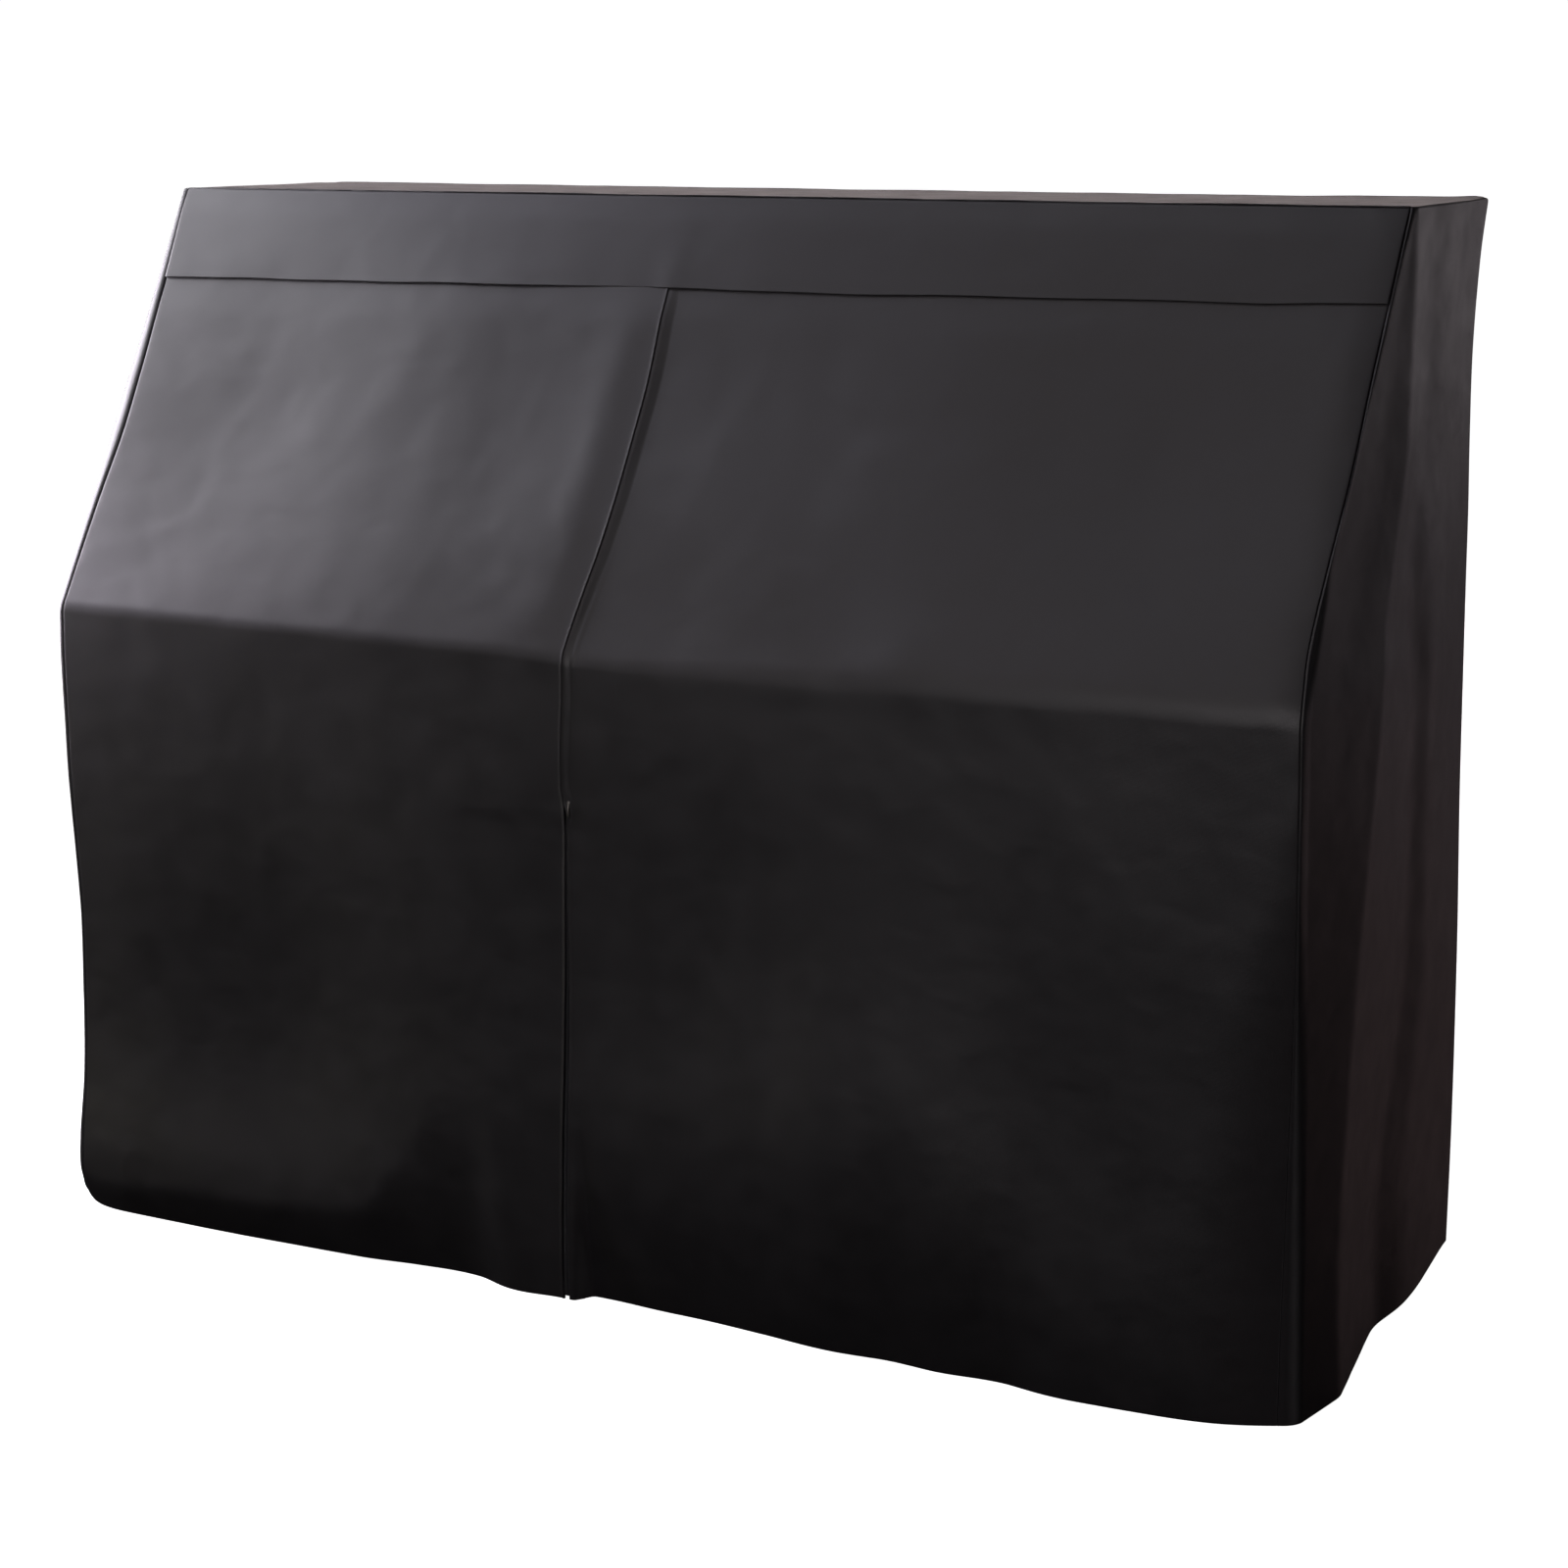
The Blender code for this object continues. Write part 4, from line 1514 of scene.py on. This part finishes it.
@dataclass
class FrontPanel(ClothPanel):
    """One half of the front, from under the band to the hem, with a turned edge at the upright seam."""

    side: Side = Side.LEFT
    top: float = 1.143
    fine_wide: float = 0.034
    fine_gap: float = 0.0013
    cut_long: float = 1.235
    cut_wide: tuple = (0.720, 0.860)

    def across(self) -> list:
        """Columns from the left edge to the right one, close together beside the upright seam.

        Returns:
            The columns, from left to right.
        """
        halfway = 0.4
        width = abs(self.form.corner_seam_x(self.side, halfway) - self.form.seam_x(halfway))
        fine = [i * self.fine_gap / width for i in range(1, round(self.fine_wide / self.fine_gap))]
        plain = graded(width, self.seam_spacing, self.spacing)
        edge = self.turn.stations()
        if self.side is Side.LEFT:
            away = [s for s in plain if s < 1.0 - self.fine_wide / width]
            return [*SEAM_TUCK, *map(Station, away), *(Station(1.0 - s) for s in reversed(fine)), *edge]
        away = [s for s in plain if s > self.fine_wide / width]
        mirrored = [Station(0.0, e.back, e.under) for e in reversed(edge)]
        return [*mirrored, *map(Station, fine), *map(Station, away), *SEAM_TUCK_END]

    def lift(self, x: float, height: float) -> float:
        """How far the panel stands off the plain front at a place.

        Args:
            x: Place along the front.
            height: Height above the floor.

        Returns:
            The distance off the plain front.
        """
        form = self.form
        lift = form.band_settled(x, height)
        if self.side is Side.LEFT:
            from_edge = form.left_edge_x(height) - x
            return lift + form.lap_over(height, from_edge) + form.parted_bead(height, from_edge)
        lift += form.parted_bead(height, x - form.right_edge_x(height))
        return lift + form.lap_under(height, x - form.left_edge_x(height))

    def place(self, column: Station, row: Station) -> Vector:
        """A point of the panel's outer face.

        Args:
            column: The column of the grid.
            row: The row of the grid.

        Returns:
            The point.
        """
        form = self.form
        height = row.share + row.back
        seam = form.corner_seam_x(self.side, height) - self.side.value * form.seam_gap / 2
        if self.side is Side.LEFT:
            turned = form.left_edge_x(height)
            x = mix(seam, turned - self.turn.radius, column.share)
            if column.back or column.under > 0.0 and column.share == 1.0:
                x = turned - column.back
        else:
            turned = form.right_edge_x(height)
            x = mix(turned + self.turn.radius, seam, column.share)
            if column.back or column.under > 0.0 and column.share == 0.0:
                x = turned + column.back
        off = self.lift(x, height) - column.under - row.under
        point = form.front(x, height, off)
        point.y += form.front_dip * form.corner_dip(self.side, height, abs(seam - x))
        return form.settle(point)

    def build(self) -> bpy.types.Object:
        """Makes the panel.

        Returns:
            The piece.
        """
        side = self.side.name.lower()
        down = self.wall_rows(self.top)
        piece = lay_sheet(f"front_{side}_cloth", self.across(), down, self.place, self.thickness)
        width = self.cut_wide[0] if self.side is Side.LEFT else self.cut_wide[1]
        flat = (width, self.cut_long)
        self.dress(piece, f"front_{side}_panel", flat, flat[0] * flat[1], ["front_band"])
        return piece


@dataclass
class FrontBand(ClothPanel):
    """The band across the top of the front, with a turned lower edge lying over the front panels."""

    over_lap_lift: float = 0.0010
    over_lap_wide: float = 0.030
    lift_over: float = 0.030
    cut_tall: float = 0.150

    def over_lap(self, x: float, height: float) -> float:
        """How far the band rises over the lap below it.

        Args:
            x: Place along the front.
            height: Height above the floor.

        Returns:
            The distance that it rises.
        """
        from_edge = abs(self.form.left_edge_x(height) - x)
        share = clamp((self.form.height - height) / self.form.band_left)
        return self.over_lap_lift * (1.0 - smooth(from_edge / self.over_lap_wide)) * share

    def place(self, column: Station, row: Station) -> Vector:
        """A point of the band's outer face.

        Args:
            column: The column of the grid.
            row: The row of the grid.

        Returns:
            The point.
        """
        form = self.form
        top = form.height - form.lid_seam
        x = mix(-0.5, 0.5, column.share) * form.width
        turned = form.band_bottom(x) + form.band_wave(x)
        height = mix(top, turned + self.turn.radius, min(row.share, 1.0))
        if row.share == 1.0 and row.under > 0.0:
            height = turned + row.back
        left = form.corner_seam_x(Side.LEFT, height) + form.seam_gap / 2
        right = form.corner_seam_x(Side.RIGHT, height) - form.seam_gap / 2
        x = mix(left, right, column.share)
        lift = mix(*form.band_lift, column.share) * smooth((top - height) / self.lift_over)
        off = lift + self.over_lap(x, height) - column.under - row.under
        point = form.front(x, height, off)
        dip = form.corner_dip(Side.LEFT, height, x - left) + form.corner_dip(Side.RIGHT, height, right - x)
        point.y += form.front_dip * dip
        return form.settle(form.roll_in(point))

    def build(self) -> bpy.types.Object:
        """Makes the band.

        Returns:
            The piece.
        """
        form = self.form
        surface = [Station(s) for s in graded(form.width, self.seam_spacing, self.spacing)]
        across = [*SEAM_TUCK, *surface, *SEAM_TUCK_END]
        drop = form.height - form.lid_seam - form.band_bottom(0.0)
        rows = [Station(s) for s in graded(drop, 0.0006, 0.005)]
        down = [Station(0.0, under=LID_TUCK), *rows[:-1], *self.turn.stations()]
        piece = lay_sheet("band_cloth", across, down, self.place, self.thickness)
        flat = (form.width + 2 * self.seam_allowance, self.cut_tall)
        self.dress(piece, "front_band", flat, flat[0] * flat[1], ["top_panel"])
        return piece


@dataclass
class SidePanel(ClothPanel):
    """A side, turning the front corner at its gusset and the back corner at its seam."""

    side: Side = Side.RIGHT
    corner_steps: int = 14
    back_steps: int = 12
    face_spacing: float = 0.0055

    def path(self) -> list:
        """Columns from the front corner seam round to the back one.

        A share from 0 to 1 is the front corner's turn, 1 to 2 the face and 2 to 3 the back corner's turn.

        Returns:
            The columns, from front to back.
        """
        flat = self.form.corner_flat
        beside_seam = (0.0, 0.03, 0.07, 0.12, 0.17, flat)
        corner = [mix(flat, 1.0, i / self.corner_steps) for i in range(1, self.corner_steps + 1)]
        count = round(self.form.key_depth / self.face_spacing)
        face = [1.0 + i / count for i in range(1, count + 1)]
        back = [2.0 + i / self.back_steps for i in range(1, self.back_steps + 1)]
        return [Station(s) for s in (*beside_seam, *corner, *face, *back)]

    def outline(self, share: float, height: float) -> Vector:
        """A point on the level outline of the side.

        Args:
            share: 0 to 1 round the front corner, 1 to 2 along the side, 2 to 3 round the back corner.
            height: Height above the floor.

        Returns:
            The point.
        """
        form = self.form
        if share <= 1.0:
            return form.front_corner(self.side, height, share)
        if share <= 2.0:
            from_back = mix(form.gusset_from_back(self.side, height), form.back_corner, share - 1.0)
            return form.side_face(self.side, height, from_back)
        return form.back_corner_turn(self.side, height, share - 2.0)

    def place(self, column: Station, row: Station) -> Vector:
        """A point of the panel's outer face.

        Args:
            column: The column of the grid.
            row: The row of the grid.

        Returns:
            The point.
        """
        height = row.share + row.back
        point = self.outline(column.share, height)
        under = column.under + row.under
        if under > 0.0:
            step = 0.02
            ahead = self.outline(min(column.share + step, 3.0), height)
            behind = self.outline(max(column.share - step, 0.0), height)
            run = (ahead - behind).normalized()
            if column.under > 0.0:
                outwards = self.side.value if column.share < 1.5 else -self.side.value
                run = Vector((outwards, 0.0, 0.0))
            point += Vector((-run.y, run.x, 0.0)) * self.side.value * under
        return self.form.settle(self.form.roll_in(point))

    def build(self) -> bpy.types.Object:
        """Makes the side.

        Returns:
            The piece.
        """
        form = self.form
        end = [replace(station, share=3.0) for station in SEAM_TUCK_END]
        across = [*SEAM_TUCK, *self.path(), *end]
        if self.side is Side.LEFT:
            across.reverse()
        down = self.wall_rows(form.height)
        side = self.side.name.lower()
        piece = lay_sheet(f"side_{side}_cloth", across, down, self.place, self.thickness)
        allowed = self.seam_allowance + self.hem_allowance
        flat = (form.key_depth + allowed, form.height + allowed)
        slope = (form.height - form.key_height) * (form.key_depth - form.top_depth) / 2
        self.dress(piece, f"side_panel_{side}", flat, flat[0] * flat[1] - slope, ["top_panel"])
        return piece


@dataclass
class BackPanel(ClothPanel):
    """The back, hanging straight with a few soft upright folds."""

    spacing: float = 0.012

    def place(self, column: Station, row: Station) -> Vector:
        """A point of the panel's outer face.

        Args:
            column: The column of the grid.
            row: The row of the grid.

        Returns:
            The point.
        """
        form = self.form
        height = row.share + row.back
        start = form.back_seam_x(Side.RIGHT, height) - form.seam_gap / 2
        end = form.back_seam_x(Side.LEFT, height) + form.seam_gap / 2
        point = form.back(mix(start, end, column.share), height, -column.under - row.under)
        return form.settle(form.roll_in(point))

    def build(self) -> bpy.types.Object:
        """Makes the back.

        Returns:
            The piece.
        """
        form = self.form
        surface = [Station(s) for s in graded(form.width, self.seam_spacing, self.spacing)]
        across = [*SEAM_TUCK, *surface, *SEAM_TUCK_END]
        piece = lay_sheet("back_cloth", across, self.wall_rows(form.height), self.place, self.thickness)
        allowed = self.seam_allowance + self.hem_allowance
        flat = (form.width + 2 * self.seam_allowance, form.height + allowed)
        self.dress(piece, "back_panel", flat, flat[0] * flat[1], ["top_panel"])
        return piece


@dataclass
class TopPanel(ClothPanel):
    """The lid panel, lying flat and rolling down a little into the seam all round."""

    sides: dict = field(default_factory=dict)

    def place(self, column: Station, row: Station) -> Vector:
        """A point of the panel's outer face.

        Args:
            column: The column of the grid.
            row: The row of the grid.

        Returns:
            The point.
        """
        form = self.form
        seam = form.height - form.lid_seam
        left, right = (form.roll_in(self.sides[side].outline(row.share, seam)) for side in Side)
        point = left.lerp(right, column.share)
        front = form.roll_in(form.front(0.0, seam)).y
        back = form.roll_in(form.back(0.0, seam)).y
        away = min(column.share, 1.0 - column.share) * (right.x - left.x)
        corner = form.back_corner
        towards_back = back - point.y
        towards_front = point.y - front
        if away < corner and towards_back < corner:
            away = corner - math.hypot(corner - away, corner - towards_back)
            towards_back = away
        edge = max(0.0, min(away, towards_back, towards_front))
        point.z = form.height + form.lid_relief(point.x, point.y) - lip(edge, form.lid_roll, form.lid_seam)
        point.z -= column.under + row.under
        return form.settle(point)

    def build(self) -> bpy.types.Object:
        """Makes the lid panel.

        Returns:
            The piece.
        """
        form = self.form
        across = [Station(s) for s in graded(form.width, 0.0006, 0.008)]
        path = [s.share for s in self.sides[Side.RIGHT].path()]
        rows = [s for i, s in enumerate(path) if s >= 2.0 or s <= 1.0 or i % 2 == 0]
        down = [Station(s) for s in reversed(rows)]
        down = [Station(3.0, under=LID_TUCK), *down, Station(0.0, under=LID_TUCK)]
        across = [Station(0.0, under=LID_TUCK), *across, Station(1.0, under=LID_TUCK)]
        piece = lay_sheet("lid_cloth", across, down, self.place, self.thickness)
        flat = (form.width + 2 * self.seam_allowance, form.top_depth + 2 * self.seam_allowance)
        self.dress(piece, "top_panel", flat, flat[0] * flat[1], [])
        return piece


def add_block(
    bm: bmesh.types.BMesh,
    size: Vector,
    middle: Vector,
    foot: float = 1.0,
    head: float = 1.0,
) -> None:
    """Adds a block to a mesh, narrowed along X towards its foot or its head.

    Args:
        bm: The mesh.
        size: The block's width, thickness and height.
        middle: Its middle.
        foot: Share of the width that its lower end keeps.
        head: Share of the width that its upper end keeps.
    """
    for vert in bmesh.ops.create_cube(bm, size=1.0)["verts"]:
        narrow = foot if vert.co.z < 0 else head
        vert.co = middle + Vector((vert.co.x * size.x * narrow, vert.co.y * size.y, vert.co.z * size.z))


@dataclass
class Zip:
    """The zip behind the parted front edges: tape, coil, and a slider with its pull."""

    form: CoverForm
    tape_weave: bpy.types.Material
    nylon: bpy.types.Material
    metal: bpy.types.Material
    tape_width: float = 0.026
    tape_thick: float = 0.0005
    tape_under: float = 0.0026
    tape_level: float = 0.0010
    tape_columns: int = 32
    tape_inside: float = 0.0008
    tape_step: float = 0.0010
    hidden: float = 0.030
    clear: float = 0.004
    pitch: float = 0.0024
    tooth_long: float = 0.0024
    tooth_thick: float = 0.0010
    tooth_tall: float = 0.42
    tooth_aside: float = 0.25
    tooth_round: float = 0.3
    coil_end: float = 0.002
    slider_size: tuple = (0.0036, 0.0024, 0.0075)
    slider_foot: float = 0.72
    slider_gap: float = 0.0004
    slider_raise: float = 0.0137
    slider_aside: float = 0.0042
    bridge_share: tuple = (0.30, 0.45, 0.62)
    bridge_proud: float = 0.15
    pull_size: tuple = (0.0026, 0.0010, 0.0150)
    pull_head: float = 0.62
    pull_hang: float = 0.42
    metal_round: float = 0.00035

    def under(self, height: float, from_middle: float) -> float:
        """How far the tape lies below the front: nearly level with it where it shows, under it beside that.

        Args:
            height: Height above the floor.
            from_middle: Distance from the zip's middle.

        Returns:
            The distance below the front.
        """
        form = self.form
        shows = form.opened(height) * form.zip_shows(height) / 2 - self.tape_inside
        beside = smooth((abs(from_middle) - shows) / self.tape_step) if shows > 0.0 else 1.0
        return mix(self.tape_level, self.tape_under, beside)

    def tape(self) -> bpy.types.Object:
        """Makes the tape, from the hem to just above the slider.

        Returns:
            The piece.
        """
        form = self.form
        top = form.zip_top + self.hidden
        between = [height for height in form.levels() if self.clear < height < top]
        rows = [Station(height) for height in (top, *between, self.clear)]

        def place(column: Station, row: Station) -> Vector:
            """A point of the tape's outer face."""
            from_middle = self.tape_width * (column.share - 0.5)
            x = form.zip_x(row.share) + from_middle
            return form.settle(form.front(x, row.share, -self.under(row.share, from_middle)))

        across = [Station(i / self.tape_columns) for i in range(self.tape_columns + 1)]
        piece = lay_sheet("zip_tape_woven", across, rows, place, self.tape_thick)
        piece.data.materials.append(self.tape_weave)
        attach(piece, BODY)
        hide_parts("zip_tape")
        return piece

    def coil(self) -> bpy.types.Object:
        """Makes the coil: two rows of small interlocking turns down the middle of the tape.

        Returns:
            The piece.
        """
        form = self.form
        bm = bmesh.new()
        count = int((form.zip_top + self.coil_end - self.clear) / self.pitch)
        for index in range(2 * count):
            height = self.clear + self.coil_end + index * self.pitch / 2
            side = -1 if index % 2 else 1
            x = form.zip_x(height) + side * self.tooth_aside * self.tooth_long
            middle = form.settle(form.front(x, height, -self.tape_level))
            tooth = bmesh.ops.create_cube(bm, size=1.0)["verts"]
            edges = {e for v in tooth for e in v.link_edges if abs(e.verts[0].co.x - e.verts[1].co.x) > 0.5}
            rounded = bmesh.ops.bevel(
                bm,
                geom=list(edges),
                offset=self.tooth_round,
                segments=1,
                profile=0.5,
                affect="EDGES",
                material=-1,
            )
            verts = list({v for f in rounded["faces"] for v in f.verts})
            size = Vector((self.tooth_long, self.tooth_thick, self.tooth_tall * self.pitch))
            bmesh.ops.scale(bm, vec=size, verts=verts)
            bmesh.ops.translate(bm, vec=middle - Vector((0.0, self.tooth_thick / 2, 0.0)), verts=verts)
        piece = new_object("zip_coil", bm)
        piece.data.materials.append(self.nylon)
        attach(piece, BODY)
        return piece

    def slider(self) -> bpy.types.Object:
        """Makes the slider at the head of the zip, with its bridge and hanging pull.

        Returns:
            The piece.
        """
        form = self.form
        _, thick, tall = self.slider_size
        head = form.zip_top + self.slider_raise - tall / 2
        seat = form.front(form.zip_x(head) + self.slider_aside, head, -self.tape_level)
        face = seat.y - self.slider_gap - thick
        bridge = [share * size for share, size in zip(self.bridge_share, self.slider_size)]
        hang = self.pull_hang
        pull_middle = Vector((seat.x, face - hang * thick, head - hang * self.pull_size[2]))
        bm = bmesh.new()
        body_middle = Vector((seat.x, face + thick / 2, head))
        add_block(bm, Vector(self.slider_size), body_middle, foot=self.slider_foot)
        add_block(bm, Vector(bridge), Vector((seat.x, face - self.bridge_proud * thick, head)))
        add_block(bm, Vector(self.pull_size), pull_middle, head=self.pull_head)
        bmesh.ops.bevel(
            bm,
            geom=bm.edges[:],
            offset=self.metal_round,
            segments=2,
            profile=0.5,
            affect="EDGES",
            material=-1,
        )
        piece = new_object("zip_slider_metal", bm)
        piece.data.materials.append(self.metal)
        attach(piece, BODY)
        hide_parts("zip_slider")
        return piece

    def build(self) -> None:
        """Makes all of the zip."""
        for piece in (self.tape(), self.coil(), self.slider()):
            LOG.info("%s: %d faces", piece.name, len(piece.data.polygons))


# ---- the room ------------------------------------------------------------------------------------------
@dataclass(frozen=True)
class SoftLight:
    """A rectangular soft box aimed at the cover."""

    name: str
    azimuth: float
    elevation: float
    distance: float
    wide: float
    tall: float
    power: float
    colour: tuple = (1.0, 1.0, 1.0)
    aim: tuple = (0.0, -0.1, 0.7)

    def build(self) -> None:
        """Hangs the light, with its azimuth counted from the front towards the right."""
        lamp = bpy.data.lights.new(self.name, "AREA")
        lamp.shape = "RECTANGLE"
        lamp.size = self.wide
        lamp.size_y = self.tall
        lamp.energy = self.power
        lamp.color = self.colour
        light = bpy.data.objects.new(self.name, lamp)
        light.visible_camera = False
        turn = math.radians(self.azimuth)
        rise = math.radians(self.elevation)
        level = Vector((math.sin(turn), -math.cos(turn), 0.0)) * math.cos(rise)
        towards = level + Vector((0.0, 0.0, math.sin(rise)))
        light.location = Vector(self.aim) + towards * self.distance
        light.rotation_euler = towards.to_track_quat("Z", "Y").to_euler()
        bpy.context.scene.collection.objects.link(light)


@dataclass(frozen=True)
class StudioWhite:
    """Matt white studio paper, lit evenly so that it stays close to white."""

    glow: float = 1.0
    paper: str = "#f2f2f2"

    def material(self) -> bpy.types.Material:
        """Makes the paper: faint mottling, 0.3 m across, keeps it from being one flat value.

        Returns:
            The material.
        """
        material, tree, output = new_material("paper_studio_matt")
        place = add_node(tree, "ShaderNodeTexCoord")
        tone = add_node(
            tree, "ShaderNodeTexNoise", {"Scale": 3.0, "Detail": 2.0}, {"Vector": place.outputs["Object"]}
        )
        glow = add_node(
            tree,
            "ShaderNodeMapRange",
            {"To Min": self.glow, "To Max": self.glow + 0.02},
            {"Value": tone.outputs["Fac"]},
        )
        shader = add_node(
            tree,
            "ShaderNodeBsdfPrincipled",
            {
                "Base Color": linear(self.paper),
                "Roughness": 0.9,
                "Specular IOR Level": 0.0,
                "Emission Color": (1.0, 1.0, 1.0, 1.0),
            },
            {"Emission Strength": glow.outputs["Result"]},
        )
        tree.links.new(shader.outputs[0], output.inputs["Surface"])
        return material


@dataclass
class Studio:
    """A pale floor, a white surround that only the camera sees, soft lights and the camera."""

    floor_radius: float = 16.0
    camera_at: tuple = (1.6781, -3.2396, 1.3346)
    camera_aim: tuple = (0.0561, -0.0110, 0.5548)
    lens: float = 73.417
    lights: tuple = (
        SoftLight("key_panel_low", -85.0, 12.0, 1.5, 0.8, 0.8, 24.0, (0.94, 0.86, 1.00)),
        SoftLight("key_panel_middle", -85.0, 30.0, 1.5, 0.8, 0.8, 8.6, (0.98, 0.97, 1.00)),
        SoftLight("key_panel_high", -85.0, 50.0, 1.5, 0.8, 0.8, 4.0, (0.88, 0.85, 1.00)),
        SoftLight("front_fill", 0.0, 14.0, 4.6, 1.5, 1.5, 37.5, (1.00, 0.94, 0.96)),
        SoftLight("overhead_left", -45.0, 70.0, 4.6, 1.5, 1.5, 21.7, (0.94, 0.91, 1.00)),
        SoftLight("overhead_front", -15.0, 42.0, 4.6, 1.5, 1.5, 11.7, (1.00, 0.88, 0.85)),
        SoftLight("low_left_fill", -60.0, -3.0, 4.6, 1.5, 1.5, 8.5, (1.00, 0.95, 0.69)),
        SoftLight("low_front_bounce", 30.0, -18.0, 4.6, 1.5, 1.5, 1.4, (1.00, 0.79, 0.79)),
        SoftLight("low_right_bounce", 75.0, -18.0, 4.6, 1.5, 1.5, 4.6, (1.00, 0.91, 0.93)),
        SoftLight("right_fill", 95.0, 4.0, 4.6, 1.5, 1.5, 2.4, (1.00, 0.93, 0.95)),
        SoftLight("rear_right_high", 158.0, 9.0, 4.6, 1.5, 1.5, 5.0, (1.00, 0.91, 0.95)),
        SoftLight("rear_right_low", 150.0, -3.0, 4.6, 1.5, 1.5, 1.8, (1.00, 0.85, 0.92)),
        SoftLight("rear_bounce", 150.0, -18.0, 4.6, 1.5, 1.5, 1.4, (1.00, 0.70, 0.70)),
        SoftLight("backdrop_glow", -154.0, 8.0, 5.0, 4.5, 1.6, 60.0, (1.0, 0.86, 0.86)),
    )

    def surfaces(self) -> None:
        """Makes the floor and the surround, neither of which lights the cover."""
        white = StudioWhite().material()
        bm = bmesh.new()
        bmesh.ops.create_circle(bm, cap_ends=True, segments=96, radius=self.floor_radius)
        floor = new_object("studio_floor", bm)
        floor.location.z = -0.0005
        bm = bmesh.new()
        bmesh.ops.create_uvsphere(bm, u_segments=64, v_segments=32, radius=self.floor_radius)
        bmesh.ops.reverse_faces(bm, faces=bm.faces[:])
        surround = new_object("studio_surround", bm)
        for thing in (floor, surround):
            thing.data.materials.append(white)
            thing.visible_diffuse = False
            thing.visible_glossy = False
            thing.visible_transmission = False
            thing.visible_shadow = False

    def camera(self) -> None:
        """Sets the camera."""
        lens = bpy.data.cameras.new("camera")
        lens.lens = self.lens
        lens.sensor_width = 36.0
        lens.sensor_fit = "HORIZONTAL"
        lens.clip_end = 100.0
        camera = bpy.data.objects.new("camera", lens)
        camera.location = self.camera_at
        towards = Vector(self.camera_at) - Vector(self.camera_aim)
        camera.rotation_euler = towards.to_track_quat("Z", "Y").to_euler()
        bpy.context.scene.collection.objects.link(camera)
        bpy.context.scene.camera = camera

    def build(self) -> None:
        """Sets up the room."""
        scene = bpy.context.scene
        scene.view_settings.view_transform = "Standard"
        world = bpy.data.worlds.new("room")
        world.use_nodes = True
        world.node_tree.nodes["Background"].inputs["Strength"].default_value = 0.0
        scene.world = world
        self.surfaces()
        for light in self.lights:
            light.build()
        self.camera()


def main() -> None:
    """Builds the cover from the lid down, then the room around it."""
    logging.basicConfig(level=logging.INFO, format="%(message)s")
    form = CoverForm()
    cloth = CoatedCloth().material()
    sides = {side: SidePanel(form, cloth, side=side) for side in Side}
    TopPanel(form, cloth, sides=sides).build()
    FrontBand(form, cloth).build()
    for side in Side:
        FrontPanel(form, cloth, side=side).build()
        sides[side].build()
    BackPanel(form, cloth).build()
    Zip(form, ZipTapeWeave().material(), ZipNylon().material(), ZipMetal().material()).build()
    Studio().build()


if __name__ == "__main__":
    main()
